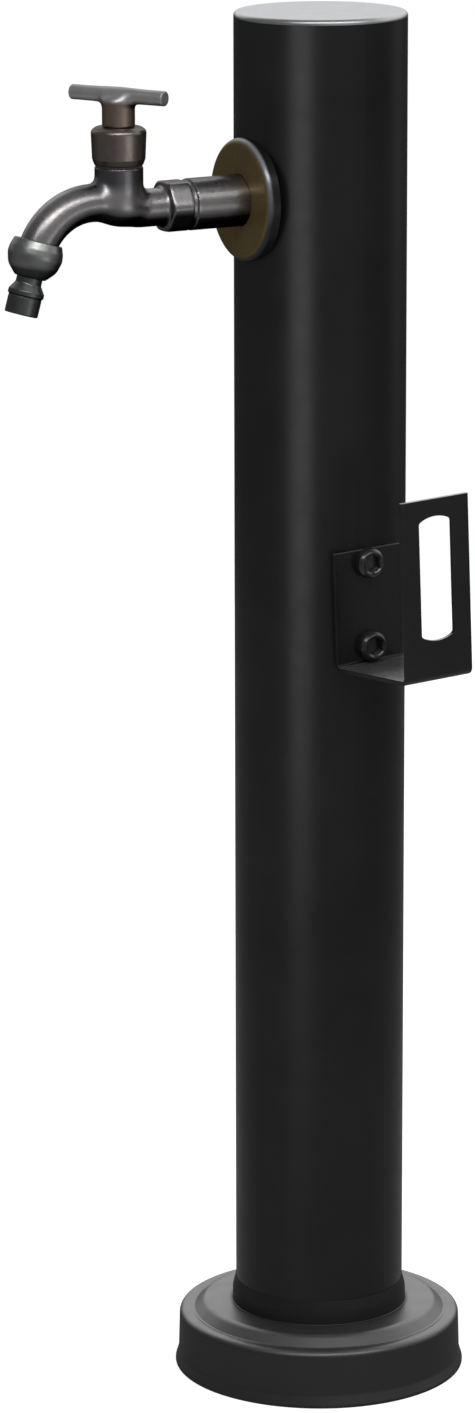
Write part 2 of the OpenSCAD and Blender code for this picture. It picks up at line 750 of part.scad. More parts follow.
// Cast T handle: bar, hub with a domed top, and a flare between them
module tee_handle() {
    hub_r = hub_d / 2;
    bar_r = bar_d / 2;
    bar_half = bar_length / 2;
    bar_edge = bar_r / 3;
    flare_r = hub_r + hub_flare;
    flare_z = bar_z - hub_flare;
    hub_edge = 0.6;
    dome_z = bar_z + bar_r - hub_edge;
    dome_r = hub_r - bar_r * 2 / 3;
    color(bronze) on_valve_axis() rotate(bar_turn) difference() {
        union() {
            translate([0, 0, bar_z]) rotate([0, 90, 0]) rotate_extrude()
                polygon(concat(
                    [[0, -bar_half]], arc([bar_r - bar_edge, bar_edge - bar_half], bar_edge, 270, 360),
                    arc([bar_r - bar_edge, bar_half - bar_edge], bar_edge, 0, 90), [[0, bar_half]]));
            rotate_extrude()
                polygon([[0, hub_foot], [hub_r - hub_edge, hub_foot], [hub_r, hub_foot + hub_edge],
                         [hub_r, bar_z], [dome_r, dome_z], [0, dome_z]]);
            intersection() {
                rotate_extrude()
                    polygon(concat(
                        [[0, flare_z - over], [hub_r, flare_z - over]],
                        arc([flare_r, flare_z - over], hub_flare, 180, 90),
                        [[flare_r, bar_z], [0, bar_z]]));
                translate([-flare_r, -bar_r, 0]) cube([2 * flare_r, bar_d, bar_z]);
            }
        }
        translate([0, 0, hub_foot - over])
            cylinder(r = spindle_end_d / 2 + seat_fit, h = spindle_end + end_gap + over);
        translate([0, 0, hub_foot + spindle_end / 2]) rotate([-90, 0, 0])
            cylinder(r = set_screw_d / 2 + seat_fit, h = hub_d);
    }
}

module handle_set_screw() {
    point = spindle_end_d / 2 + seat_fit;
    sunk = 0.4;
    screw_len = hub_d / 2 - point - sunk;
    socket_d = set_screw_d / 2;
    color(steel) on_valve_axis(hub_foot + spindle_end / 2) rotate(bar_turn) rotate([-90, 0, 0])
        difference() {
            translate([0, 0, point]) cylinder(d = set_screw_d, h = screw_len);
            translate([0, 0, point + screw_len / 2]) cylinder(d = socket_d, h = screw_len, $fn = hex_sides);
        }
}

module jumper() {
    color(brass) on_valve_axis() difference() {
        union() {
            translate([0, 0, plate_low]) cylinder(r = jumper_plate_r, h = jumper_plate);
            translate([0, 0, plate_low]) cylinder(d = jumper_stem_d, h = jumper_plate + jumper_stem);
        }
        cylinder(r = washer_screw_d / 2 + seat_fit, h = stem_low + jumper_stem / 2);
    }
}

module valve_washer_disc() {
    color(rubber) on_valve_axis(washer_low)
        ring(valve_washer_d / 2, washer_screw_d / 2 + seat_fit, valve_washer);
}

module washer_screw() {
    head_d = seat_d * 3 / 4;
    head_h = washer_screw_d / 2;
    head_z = washer_low - head_h;
    tip_z = stem_low + jumper_stem / 2 - end_gap;
    slot_cut = head_h / 2;
    color(brass) on_valve_axis() difference() {
        union() {
            translate([0, 0, head_z]) cylinder(d = head_d, h = head_h);
            translate([0, 0, head_z]) cylinder(d = washer_screw_d, h = tip_z - head_z);
        }
        translate([-head_d, -slot_cut / 2, head_z - over]) cube([2 * head_d, slot_cut, slot_cut + over]);
    }
}

// Pear-shaped union nut that holds the nozzle's flange against the spout
module union_nut() {
    union_r = union_d / 2;
    mouth_r = union_bore_r + union_mouth;
    throat_r = nozzle_neck_d / 2 + seat_fit;
    foot_r = throat_r + union_mouth;
    top_swell = bulge_radius(union_r - mouth_r, union_shoulder);
    low_swell = bulge_radius(union_r - foot_r, union_tail);
    color(dark_bronze) on_outlet_axis() difference() {
        rotate_extrude()
            polygon(concat(
                [[0, -union_shoulder]],
                arc([union_r - top_swell, 0], top_swell, -asin(union_shoulder / top_swell), 0),
                arc([union_r - low_swell, 0], low_swell, 0, asin(union_tail / low_swell)),
                [[0, union_tail]]));
        translate([0, 0, -union_shoulder - over])
            cylinder(r = union_bore_r, h = union_shoulder + flange_high + seat_fit + over);
        cylinder(r = throat_r, h = union_tail + over);
    }
}

module outlet_seal_ring() {
    color(rubber) on_outlet_axis() ring(flange_r, spout_bore / 2, outlet_seal);
}

// Hose nozzle: inner flange, neck, cone, shoulder and straight hose end
module hose_nozzle() {
    bore_r = nozzle_bore / 2;
    shoulder_r = nozzle_d / 2;
    mouth_r = nozzle_mouth_d / 2;
    neck_r = nozzle_neck_d / 2;
    step_at = shoulder_low + nozzle_shoulder;
    mouth_edge = 0.6;
    color(dark_bronze) on_outlet_axis() rotate_extrude()
        polygon([[bore_r, flange_low], [flange_r, flange_low], [flange_r, flange_high],
                 [neck_r, flange_high], [neck_r, collar_at], [shoulder_r, shoulder_low],
                 [shoulder_r, step_at - (shoulder_r - mouth_r)], [mouth_r, step_at],
                 [mouth_r, mouth_at - mouth_edge], [mouth_r - mouth_edge, mouth_at], [bore_r, mouth_at]]);
}

// Bracket folded from one strip: mounting plate, shelf and slotted end plate
module hose_bracket() {
    down = 270 + shelf_slope;
    fold_rise = bracket_bend / cos(shelf_slope);
    back_at = bracket_face + bracket_bend;
    end_at = end_inside - bracket_bend;
    back_fold = [back_at, shelf_top(back_at) + fold_rise];
    end_fold = [end_at, shelf_top(end_at) + fold_rise];
    color(black_coat) difference() {
        on_bracket() difference() {
            rotate([90, 0, 0]) linear_extrude(bracket_w, center = true)
                polygon(concat(
                    [[bracket_back, mount_top]], arc(back_fold, bracket_fold, 180, down),
                    arc(end_fold, bracket_fold, down, 360),
                    [[bracket_end, end_top], [end_inside, end_top]],
                    arc(end_fold, bracket_bend, 360, down), arc(back_fold, bracket_bend, down, 180),
                    [[bracket_face, mount_top]]));
            translate([end_inside - over, 0, slot_mid]) rotate([90, 0, 90])
                linear_extrude(bracket_sheet + 2 * over) end_slot();
        }
        on_screw_axes(column_r - over) cylinder(r = screw_d / 2 + hole_fit, h = bracket_sheet + 2 * over);
    }
}

// Slot with straight sides and shallow round ends
module end_slot() {
    end_y = slot_h / 2 - slot_end_r;
    intersection() {
        square([slot_w, slot_h], center = true);
        union() {
            square([slot_w, slot_h - 2 * slot_sagitta], center = true);
            translate([0, end_y]) circle(r = slot_end_r);
            translate([0, -end_y]) circle(r = slot_end_r);
        }
    }
}

// Two domed screws with a hexagon socket
module bracket_screws() {
    head_r = screw_head_d / 2;
    rim = screw_head / 4;
    dome = screw_head - rim;
    socket_r = head_r / 2;
    color(black_steel) on_screw_axes(bracket_face) difference() {
        union() {
            rotate_extrude()
                polygon(concat(
                    [[0, 0], [head_r, 0]], arc([head_r - dome, rim], dome, 0, 90), [[0, screw_head]]));
            translate([0, 0, -screw_length]) cylinder(d = screw_d, h = screw_length + over);
        }
        translate([0, 0, screw_head / 2]) cylinder(r = socket_r, h = screw_head, $fn = hex_sides);
    }
}

// Two blind rivet nuts set flush in the column wall
module rivet_nuts() {
    collar = 2.6;
    collar_reach = rivet_collar_d / 2 + screw_aside;
    nut_reach = rivet_nut_d / 2 + screw_aside;
    collar_top = sqrt(column_bore_r * column_bore_r - collar_reach * collar_reach) - seat_fit;
    flush = sqrt(column_r * column_r - nut_reach * nut_reach);
    color(steel) on_screw_axes() difference() {
        union() {
            translate([0, 0, flush - rivet_nut_length]) cylinder(d = rivet_nut_d, h = rivet_nut_length);
            translate([0, 0, collar_top - collar]) cylinder(d = rivet_collar_d, h = collar);
        }
        cylinder(r = screw_d / 2 + seat_fit, h = column_od);
    }
}

column_tube();
top_cap();
base_plate();
base_cover();
inlet_socket();
lower_olive();
lower_nut();
riser_pipe();
upper_olive();
upper_nut();
tap_elbow();
inner_saddle_ring();
outer_saddle_ring();
rosette();
tap_body();
bonnet_washer_ring();
bonnet();
spindle();
spindle_seals();
tee_handle();
handle_set_screw();
jumper();
valve_washer_disc();
washer_screw();
union_nut();
outlet_seal_ring();
hose_nozzle();
hose_bracket();
bracket_screws();
rivet_nuts();
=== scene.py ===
import json
import math

import bmesh
import bpy
import numpy as np
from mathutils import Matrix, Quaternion, Vector

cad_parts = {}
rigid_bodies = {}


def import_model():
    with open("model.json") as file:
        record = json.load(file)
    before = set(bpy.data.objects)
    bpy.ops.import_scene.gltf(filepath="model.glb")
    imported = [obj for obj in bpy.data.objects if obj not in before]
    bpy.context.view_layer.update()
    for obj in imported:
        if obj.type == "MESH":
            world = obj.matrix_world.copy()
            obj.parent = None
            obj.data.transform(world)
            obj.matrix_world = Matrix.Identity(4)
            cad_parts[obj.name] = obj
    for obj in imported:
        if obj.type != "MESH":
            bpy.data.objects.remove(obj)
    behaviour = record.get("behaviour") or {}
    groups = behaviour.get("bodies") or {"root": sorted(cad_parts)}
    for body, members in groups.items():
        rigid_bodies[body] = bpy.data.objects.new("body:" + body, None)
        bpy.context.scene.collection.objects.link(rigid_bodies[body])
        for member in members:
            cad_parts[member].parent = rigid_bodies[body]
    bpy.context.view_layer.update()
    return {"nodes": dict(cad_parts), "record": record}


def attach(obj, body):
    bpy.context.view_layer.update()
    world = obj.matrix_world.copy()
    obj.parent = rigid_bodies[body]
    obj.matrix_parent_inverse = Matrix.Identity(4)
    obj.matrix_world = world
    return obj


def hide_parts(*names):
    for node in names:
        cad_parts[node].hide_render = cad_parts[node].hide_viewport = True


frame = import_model()
scene = bpy.context.scene
MM = 0.001

# Sizes and places in millimetres and radians: column on the origin, tap along -Y, bracket along +X

COLUMN_R = 38.0
TOP_Z = 620.0
TAP_Z = TOP_Z - 80.0

# Tap: distances out from the column's axis, heights from the tap's axis
TAIL_R = 10.4
TAIL_START = 19.0
SHANK_R = 11.3
SHANK_START = COLUMN_R + 1.5
SHANK_END = SHANK_START + 27.0
GROOVE_END = SHANK_END + 1.8
HEX_HALF_LENGTH = 5.25
HEX_HALF_FLATS = 10.8
HEX_TURNED_R = 11.7
HEX_CHAMFER_FROM = 4.4
HEX_CHAMFER = 0.9
HEX_MIDDLE = GROOVE_END + HEX_HALF_LENGTH
TUBE_START = GROOVE_END + 1.7
RISE_START = 89.0
VALVE_AT = 99.7
BEND_AT = VALVE_AT + 13.4
BEND_R = 28.4
BEND_TURN = math.radians(74)
SPOUT_RISE = 4.0
SPOUT_R = 8.2
SPOUT_BORE_R = 5.5
NECK_R = 10.5
NECK_TOP = 18.8
BOWL_R = 12.6
BOWL_MIDDLE = 6.0

# Handle: heights from the tap's axis
BAR_TURN = math.radians(28.5)
BAR_HALF_LENGTH = 23.8
BAR_MIDDLE = 49.4
BAR_R = 3.25
BAR_SWELL = 0.35
BAR_SWELL_REACH = 9.0
HUB_R = 7.1
HUB_FOOT = 36.35
HUB_TOP = 48.9
SPINDLE_HOLE_R = 4.05
SPINDLE_HOLE_TOP = 46.2
SET_SCREW_Z = 41.15
SET_SCREW_HOLE_R = 2.05

# Bracket: drawn upright along +X, then leant and turned
BRACKET_TURN = math.radians(2.5)
BRACKET_LEAN = math.radians(2.3)
SHELF_SLOPE = math.radians(4.7)
SHEET = 2.0
SHEET_EDGE_R = 0.35
FOLD_R = 1.5
BRACKET_FACE = COLUMN_R + SHEET + 0.05
BRACKET_END = BRACKET_FACE + 55.0
BRACKET_HALF_WIDTH = 17.2
SHELF_Z = 337.2
MOUNT_TOP = 388.2
END_TOP = 420.4
SCREW_Z = (344.8, 382.2)
SLOT_Z = 385.2
SLOT_WIDTH = 16.6
SLOT_HEIGHT = 54.8
SLOT_END_R = 16.0
SLOT_CORNER_R = 1.6

OUTLET = (0.0, -BEND_AT - BEND_R * math.sin(BEND_TURN),
          TAP_Z + SPOUT_RISE - BEND_R + BEND_R * math.cos(BEND_TURN))
OUTLET_ALONG = (0.0, -math.cos(BEND_TURN), -math.sin(BEND_TURN))

# Camera: fitted to the column and the base in the photograph's 475 x 1413 frame, in metres and radians

IMAGE_HEIGHT_PX = 1413
FOCAL_PX = 5474
COLUMN_RIGHT_OF_CENTRE_PX = 82.2
CAMERA_DISTANCE = 2.382
CAMERA_HEIGHT = 0.886
CAMERA_AZIMUTH = math.radians(60)
CAMERA_PITCH = math.radians(13.62)
CAMERA_ROLL = math.radians(-0.13)
SENSOR_MM = 36.0


def outward(azimuth, pitch=0.0):
    """Unit vector out from the column: azimuth 0 points along the tap, growing towards the bracket."""
    level = math.cos(pitch)
    return Vector((math.sin(azimuth) * level, -math.cos(azimuth) * level, math.sin(pitch)))


def make_camera():
    data = bpy.data.cameras.new("camera")
    camera = bpy.data.objects.new("camera", data)
    scene.collection.objects.link(camera)
    data.sensor_fit = "VERTICAL"
    data.sensor_width = SENSOR_MM
    data.sensor_height = SENSOR_MM
    data.lens = FOCAL_PX / IMAGE_HEIGHT_PX * SENSOR_MM
    pan = math.atan(COLUMN_RIGHT_OF_CENTRE_PX / FOCAL_PX / math.cos(CAMERA_PITCH))
    camera.location = outward(CAMERA_AZIMUTH) * CAMERA_DISTANCE + Vector((0, 0, CAMERA_HEIGHT))
    forward = -outward(CAMERA_AZIMUTH + pan, CAMERA_PITCH)
    camera.rotation_mode = "QUATERNION"
    camera.rotation_quaternion = forward.to_track_quat("-Z", "Y") @ Quaternion((0, 0, 1), CAMERA_ROLL)
    scene.camera = camera


# Shader nodes

MATERIALS = {}


def new_material(name):
    """Starts a look, kept by its name, and gives its node tree and shader."""
    material = bpy.data.materials.new(name)
    material.use_nodes = True
    MATERIALS[name] = material
    tree = material.node_tree
    return tree, tree.nodes["Principled BSDF"]


def grey(level):
    return (level,) * 3


def scaled(colour, share):
    return tuple(part * share for part in colour)


def add(tree, kind, links=None, **values):
    """Adds a shader node. Values set its sockets, named with underscores for spaces, or else its properties.
    Links join outputs to its sockets."""
    node = tree.nodes.new(kind)
    for key, value in values.items():
        name = key.replace("_", " ")
        if name in node.inputs:
            node.inputs[name].default_value = value
        else:
            setattr(node, key, value)
    for name, output in (links or {}).items():
        tree.links.new(output, node.inputs[name])
    return node


def feed(tree, socket, value):
    """Joins an output to a socket, or sets the socket to a number or colour."""
    if isinstance(value, bpy.types.NodeSocket):
        tree.links.new(value, socket)
    elif isinstance(value, tuple):
        socket.default_value = (*value, 1)
    else:
        socket.default_value = value


def finish_shader(tree, shader, **values):
    """Feeds the shader's sockets, named with underscores for spaces."""
    for key, value in values.items():
        feed(tree, shader.inputs[key.replace("_", " ")], value)


def place(tree, stretch=(1, 1, 1)):
    """Coordinates in millimetres in the object's own frame."""
    coords = add(tree, "ShaderNodeTexCoord")
    in_mm = tuple(share / MM for share in stretch)
    return add(tree, "ShaderNodeMapping", {"Vector": coords.outputs["Object"]}, Scale=in_mm).outputs["Vector"]


def noise(tree, where, per_mm, detail=3.0):
    """Uneven patches, so many to the millimetre."""
    return add(tree, "ShaderNodeTexNoise", {"Vector": where}, Scale=per_mm, Detail=detail,
               Roughness=0.55).outputs["Fac"]


def lines(tree, along, per_mm):
    """Fine uneven lines that change only with one length, such as a radius."""
    return add(tree, "ShaderNodeTexNoise", {"W": along}, noise_dimensions="1D", Scale=per_mm, Detail=4.0,
               Roughness=0.6).outputs["Fac"]


def dot(tree, vector, direction):
    node = add(tree, "ShaderNodeVectorMath", {0: vector}, operation="DOT_PRODUCT")
    node.inputs[1].default_value = direction
    return node.outputs["Value"]


def along_axis(tree, direction):
    """Place along a direction, in millimetres."""
    return dot(tree, place(tree), direction)


def from_axis(tree):
    """Distance from the column's axis, in millimetres."""
    flat = place(tree, (1, 1, 0))
    return add(tree, "ShaderNodeVectorMath", {0: flat}, operation="LENGTH").outputs["Value"]


def normal_part(tree, axis):
    """Part along "X", "Y" or "Z" of the direction that a surface faces, in the object's own frame."""
    coords = add(tree, "ShaderNodeTexCoord")
    return add(tree, "ShaderNodeSeparateXYZ", {"Vector": coords.outputs["Normal"]}).outputs[axis]


def spread(tree, fac, low, high, from_low=0.3, from_high=0.7):
    """Maps a factor from one range onto another. A noise lies mostly in the range that is used by default."""
    return add(tree, "ShaderNodeMapRange", {"Value": fac}, From_Min=from_low, From_Max=from_high,
               To_Min=low, To_Max=high).outputs["Result"]


def facing_up(tree):
    """0 on surfaces that face the ground, 0.5 on upright ones and 1 on those that face the sky."""
    return spread(tree, normal_part(tree, "Z"), 0.0, 1.0, -1.0, 1.0)


def ramp(tree, fac, *stops):
    """Colour ramp with (position, colour) stops, in rising order."""
    node = add(tree, "ShaderNodeValToRGB", {"Fac": fac})
    elements = node.color_ramp.elements
    first, *others, last = stops
    for element, (position, colour) in zip(elements, (first, last)):
        element.position = position
        element.color = (*colour, 1)
    for position, colour in others:
        elements.new(position).color = (*colour, 1)
    return node.outputs["Color"]


def mix(tree, fac, a, b, blend="MIX"):
    """Colour between a and b."""
    node = add(tree, "ShaderNodeMix", data_type="RGBA", blend_type=blend)
    for socket, value in ((node.inputs[0], fac), (node.inputs[6], a), (node.inputs[7], b)):
        feed(tree, socket, value)
    return node.outputs[2]


def between(tree, fac, a, b):
    """Number between a and b."""
    node = add(tree, "ShaderNodeMix", {0: fac}, data_type="FLOAT")
    for socket, value in ((node.inputs[2], a), (node.inputs[3], b)):
        feed(tree, socket, value)
    return node.outputs[0]


def times(tree, a, b):
    node = add(tree, "ShaderNodeMath", {0: a}, operation="MULTIPLY")
    feed(tree, node.inputs[1], b)
    return node.outputs[0]


def bump(tree, height, depth_mm, under=None):
    """Relief of a depth in millimetres, on top of the one under it."""
    links = {"Height": height}
    if under is not None:
        links["Normal"] = under
    return add(tree, "ShaderNodeBump", links, Strength=1.0, Distance=depth_mm * MM).outputs["Normal"]


# Kinds of material, with depths in millimetres

METAL_GRAIN_DEPTH = 0.0025
TURNED_LINE_DEPTH = 0.004


def with_painted_reflection(tree, where, paint, reflection_stops):
    """Paint with a patchy painted reflection on the faces that look up, lighter further out along X; the stops
    are (millimetres along X, colour).
    """
    low, high = reflection_stops[0][0], reflection_stops[-1][0]
    outwards = spread(tree, along_axis(tree, (1, 0, 0)), 0.0, 1.0, low, high)
    painted_reflection = ramp(tree, outwards, *[((at - low) / (high - low), colour) for at, colour in reflection_stops])
    looks_up = spread(tree, facing_up(tree), 0.0, 1.0, 0.9, 0.97)
    patches = spread(tree, noise(tree, where, 0.25, 4.0), 0.7, 1.0)
    return mix(tree, times(tree, looks_up, patches), paint, painted_reflection)


def cover_gloss(tree):
    """Tint of the base cover's gloss, which is weaker on steep faces and on the neck round the column: painted
    shade in its reflections.
    """
    neck_r, middle_r = 39.8, 41.5
    past_neck = spread(tree, from_axis(tree), 0.0, 1.0, neck_r, middle_r)
    neck = ramp(tree, past_neck, (0.0, grey(0.5)), (1.0, grey(1.0)))
    steep = ramp(tree, facing_up(tree), (0.6, grey(0.165)), (0.79, grey(0.34)), (0.97, grey(1.0)))
    return mix(tree, 1.0, neck, steep, "MULTIPLY")


def powder_coat(name, colour, roughness, specular, peel, ior=1.5, spun=None, reflection_stops=None):
    """Satin powder coat: orange peel, slight mottling and fine changes of gloss. "peel" is the depth of the
    orange peel, and "spun" that of the turned lines on the spun cover."""
    tree, shader = new_material(name)
    where = place(tree)
    mottle = noise(tree, where, 0.02)
    paint = ramp(tree, mottle, (0.35, scaled(colour, 0.85)), (0.65, scaled(colour, 1.18)))
    # Painted reflection on the faces that look up
    if reflection_stops:
        paint = with_painted_reflection(tree, where, paint, reflection_stops)
    gloss = spread(tree, noise(tree, where, 0.12), roughness - 0.03, roughness + 0.03)
    orange_peel = noise(tree, where, 0.9, 2.0)
    surface = bump(tree, orange_peel, peel)
    if spun:
        surface = bump(tree, lines(tree, from_axis(tree), 0.55), spun, surface)
        finish_shader(tree, shader, Specular_Tint=cover_gloss(tree))
    finish_shader(tree, shader, Base_Color=paint, Roughness=gloss, Normal=surface,
                  Specular_IOR_Level=specular, IOR=ior)


def rimmed(tree, painted_light_and_shade, rim):
    """Gives a disc that faces along the tap an edge of another colour, lighter where it faces up as a painted
    highlight, darker where it faces down and near black where it turns to the side, as painted shade.
    """
    back = normal_part(tree, "Y")
    # Painted highlight on the rim where it faces up, painted shade where it faces down
    edge = ramp(tree, facing_up(tree), (0.35, scaled(rim, 0.12)), (0.8, rim))
    # Painted shade: near black where the rim turns to the side, towards the column
    edge = mix(tree, spread(tree, back, 0.0, 1.0, -0.5, -0.1), edge, grey(0.02))
    return mix(tree, spread(tree, back, 1.0, 0.0, -0.92, -0.7), edge, painted_light_and_shade)


def metal(name, sky, side, ground, roughness, cloud=0.12, grazing=0.3, metallic=1.0, turned=None, rim=None,
          band=None):
    """Metal with clouds and a fine grain, and with painted light and shade: "sky" is its colour where it faces
    up, "side" where it is upright and "ground" below, so that it is lighter above and darker below as painted
    light and shade. "grazing" is the tint of glancing reflections on faces that look up; on faces that look
    down the reflections are weakened as painted shade. "turned" is the axis of turned lines, and "rim" the
    colour of a disc's edge, with a painted highlight and painted shade on it. "band" is (low, high, colour):
    the colour takes over between two heights in millimetres, where a part is rubbed bright, or as a darker
    band of painted shade."""
    tree, shader = new_material(name)
    where = place(tree)
    # Painted light and shade: lighter where a face looks up, darker where it is upright, near black where it
    # looks down
    painted_light_and_shade = ramp(tree, facing_up(tree),
                  (0.0, ground), (0.26, ground), (0.42, side), (0.72, side), (1.0, sky))
    if rim:
        painted_light_and_shade = rimmed(tree, painted_light_and_shade, rim)
    if band:
        low, high, colour = band
        painted_light_and_shade = mix(tree, spread(tree, along_axis(tree, (0, 0, 1)), 0.0, 1.0, low, high), painted_light_and_shade, colour)
    clear = 1 - cloud
    cool = (clear * 0.96, clear, clear * 1.05)
    clouds = ramp(tree, noise(tree, where, 0.09, 4.0), (0.3, cool), (0.7, grey(1.0)))
    # Painted shade in the reflections: the gloss tint falls to almost nothing on faces that look down
    edge = ramp(tree, facing_up(tree), (0.2, grey(0.05)), (0.45, grey(0.5)), (0.9, grey(grazing)))
    gloss = spread(tree, noise(tree, where, 0.5, 4.0), roughness - 0.04, roughness + 0.05)
    surface = bump(tree, noise(tree, where, 1.2), METAL_GRAIN_DEPTH)
    if turned:
        surface = bump(tree, lines(tree, along_axis(tree, turned), 1.1), TURNED_LINE_DEPTH, surface)
    finish_shader(tree, shader, Base_Color=mix(tree, 1.0, painted_light_and_shade, clouds, "MULTIPLY"), Specular_Tint=edge,
                  Roughness=gloss, Normal=surface, Metallic=metallic)


def plain_metal(name, colour, roughness):
    metal(name, colour, colour, colour, roughness)


def dull(name, colour, roughness, grain):
    """Rubber, nylon or fibre: matt, with a fine mould grain. "grain" is its depth."""
    tree, shader = new_material(name)
    where = place(tree)
    fine = noise(tree, where, 0.7)
    finish_shader(tree, shader,
                  Base_Color=ramp(tree, fine, (0.35, colour), (0.7, scaled(colour, 1.35))),
                  Roughness=spread(tree, fine, roughness - 0.05, roughness + 0.08),
                  Normal=bump(tree, noise(tree, where, 2.0), grain))


# Looks of the pieces

BLACK = (0.0085, 0.0085, 0.009)
NEAR_BLACK = (0.012, 0.012, 0.013)
# Painted shade: a darker band on the tap's neck under the bonnet, fading in between 9 and 13 mm above the
# tap's axis
NECK_PAINTED_SHADE = (TAP_Z + 9.0, TAP_Z + 13.0, (0.17, 0.165, 0.172))
RUBBED_BAR = (TAP_Z + 45.8, TAP_Z + 48.2, (0.72, 0.69, 0.68))
# Painted reflection on the bracket's faces that look up, lighter towards the end plate
SHELF_PAINTED_REFLECTION = [(44, grey(0.09)), (62, grey(0.1)), (76, grey(0.3)), (90, grey(0.6))]

powder_coat("black_coat", BLACK, roughness=0.34, specular=0.25, peel=0.006)
powder_coat("bracket_coat", BLACK, roughness=0.27, specular=0.5, peel=0.004, reflection_stops=SHELF_PAINTED_REFLECTION)
powder_coat("cover_coat", (0.0095, 0.0095, 0.010), roughness=0.4, specular=1.0, peel=0.003, ior=2.3,
            spun=0.003)
powder_coat("black_steel", NEAR_BLACK, roughness=0.24, specular=1.0, peel=0.003)
# In the metal looks below, the sky, side and ground colours are painted light and shade: lighter above, darker
# below
metal("light_metal", sky=grey(0.75), side=grey(0.52), ground=grey(0.4),
      roughness=0.34, cloud=0.05, grazing=0.85)
metal("bronze", sky=(0.6, 0.575, 0.58), side=(0.31, 0.292, 0.287), ground=(0.016, 0.015, 0.016),
      roughness=0.3, band=NECK_PAINTED_SHADE)
metal("bonnet_bronze", sky=(0.38, 0.335, 0.30), side=(0.275, 0.232, 0.202), ground=(0.02, 0.017, 0.015),
      roughness=0.32)
metal("tee_bronze", sky=(0.46, 0.40, 0.36), side=(0.33, 0.26, 0.21), ground=(0.05, 0.04, 0.034),
      roughness=0.4, band=RUBBED_BAR)
metal("rosette_bronze", sky=(0.15, 0.115, 0.055), side=(0.17, 0.122, 0.05), ground=(0.1, 0.076, 0.034),
      roughness=0.28, metallic=0.55, rim=(0.34, 0.35, 0.37))
metal("dark_bronze", sky=(0.52, 0.52, 0.50), side=(0.33, 0.335, 0.32), ground=(0.07, 0.073, 0.07),
      roughness=0.36, turned=OUTLET_ALONG)
metal("nozzle_bronze", sky=(0.3, 0.305, 0.3), side=(0.135, 0.142, 0.137), ground=(0.03, 0.032, 0.03),
      roughness=0.34, turned=OUTLET_ALONG)
plain_metal("plate_steel", (0.45, 0.46, 0.47), roughness=0.4)
plain_metal("brass", (0.55, 0.40, 0.16), roughness=0.3)
plain_metal("steel", (0.55, 0.55, 0.56), roughness=0.3)
dull("rubber", NEAR_BLACK, roughness=0.6, grain=0.02)
dull("plastic", (0.025, 0.025, 0.027), roughness=0.45, grain=0.01)
dull("fibre", (0.035, 0.024, 0.018), roughness=0.7, grain=0.03)

SLOT_OF = {part["node"]: part["material_slot"] for part in frame["record"]["subparts"]}


def finish_nodes():
    for name, obj in frame["nodes"].items():
        obj.data.materials.clear()
        obj.data.materials.append(MATERIALS[SLOT_OF[name]])


# Mesh making, in millimetres until the last step

# Points closer than this, in metres, become one
WELD_DISTANCE = 1e-7
# Edges that bend more than this stay sharp in the shading, and large flat faces weigh this much in it
SHARP_ANGLE = math.radians(38)
FLAT_FACE_WEIGHT = 80
# A bend less than this, in radians, counts as straight, and a radius less than this, in millimetres, as a pole
STRAIGHT = 1e-3
POLE_R = 1e-6


def rounded(corners, closed=False, turn_step=math.radians(10)):
    """Points along a line through (x, y, radius) corners, each rounded off to its radius."""
    count = len(corners)
    points = []
    for i, (x, y, radius) in enumerate(corners):
        here = np.array((x, y), float)
        if radius <= 0 or (not closed and i in (0, count - 1)):
            points.append(here)
            continue
        before = np.array(corners[i - 1][:2], float) - here
        after = np.array(corners[(i + 1) % count][:2], float) - here
        before /= np.linalg.norm(before)
        after /= np.linalg.norm(after)
        half = math.acos(np.clip(before @ after, -1, 1)) / 2
        bend = math.pi - 2 * half
        if bend < STRAIGHT:
            points.append(here)
            continue
        reach = radius / math.tan(half)
        bisector = (before + after) / np.linalg.norm(before + after)
        centre = here + bisector * radius / math.sin(half)
        start = here + before * reach - centre
        end = here + after * reach - centre
        steps = max(2, math.ceil(bend / turn_step))
        first_angle = math.atan2(start[1], start[0])
        last_angle = math.atan2(end[1], end[0])
        sweep = (last_angle - first_angle + math.pi) % (2 * math.pi) - math.pi
        for k in range(steps + 1):
            angle = first_angle + sweep * k / steps
            points.append(centre + radius * np.array((math.cos(angle), math.sin(angle))))
    return [tuple(point) for point in points]


def basis(origin, along, side=(1, 0, 0)):
    """Matrix that puts local +Z on "along" and local +X near "side", at an origin in millimetres."""
    z = Vector(along).normalized()
    x = (Vector(side) - z * Vector(side).dot(z)).normalized()
    y = z.cross(x)
    return np.array([[x[i], y[i], z[i], origin[i]] for i in range(3)], float)


def put(shape, where):
    """Moves a (vertices, faces) shape by a 3 x 4 matrix."""
    verts, faces = shape
    return np.asarray(verts, float) @ where[:, :3].T + where[:, 3], faces


def join(*shapes):
    all_verts, all_faces, start = [], [], 0
    for verts, faces in shapes:
        all_verts.append(np.asarray(verts, float))
        all_faces.extend(tuple(start + i for i in face) for face in faces)
        start += len(verts)
    return np.vstack(all_verts), all_faces


def loft(rings, closed, segments):
    """Rings of "segments" points joined into one surface; a ring of one point closes it as a pole."""
    verts, faces, starts = [], [], []
    for ring in rings:
        starts.append((len(verts), len(ring)))
        verts.extend(ring)
    pairs = list(zip(starts, starts[1:]))
    if closed:
        pairs.append((starts[-1], starts[0]))
    for (near, near_count), (far, far_count) in pairs:
        for k in range(segments):
            n = (k + 1) % segments
            if near_count == 1:
                faces.append((near, far + n, far + k))
            elif far_count == 1:
                faces.append((near + k, near + n, far))
            else:
                faces.append((near + k, near + n, far + n, far + k))
    return verts, faces


def lathe(profile, closed=False, segments=96, radius_at=None):
    """Turned shape from (radius, height) points. radius_at(index, radius, angle) may vary the radius."""
    rings = []
    for i, (radius, z) in enumerate(profile):
        if radius < POLE_R:
            rings.append([(0, 0, z)])
            continue
        ring = []
        for k in range(segments):
            angle = 2 * math.pi * k / segments
            here = radius_at(i, radius, angle) if radius_at else radius
            ring.append((here * math.cos(angle), here * math.sin(angle), z))
        rings.append(ring)
    return loft(rings, closed, segments)


def turned_ring(corners, segments=128):
    """Turned ring from a closed outline of (radius, height, rounding) corners."""
    return lathe(rounded(corners, closed=True), closed=True, segments=segments)


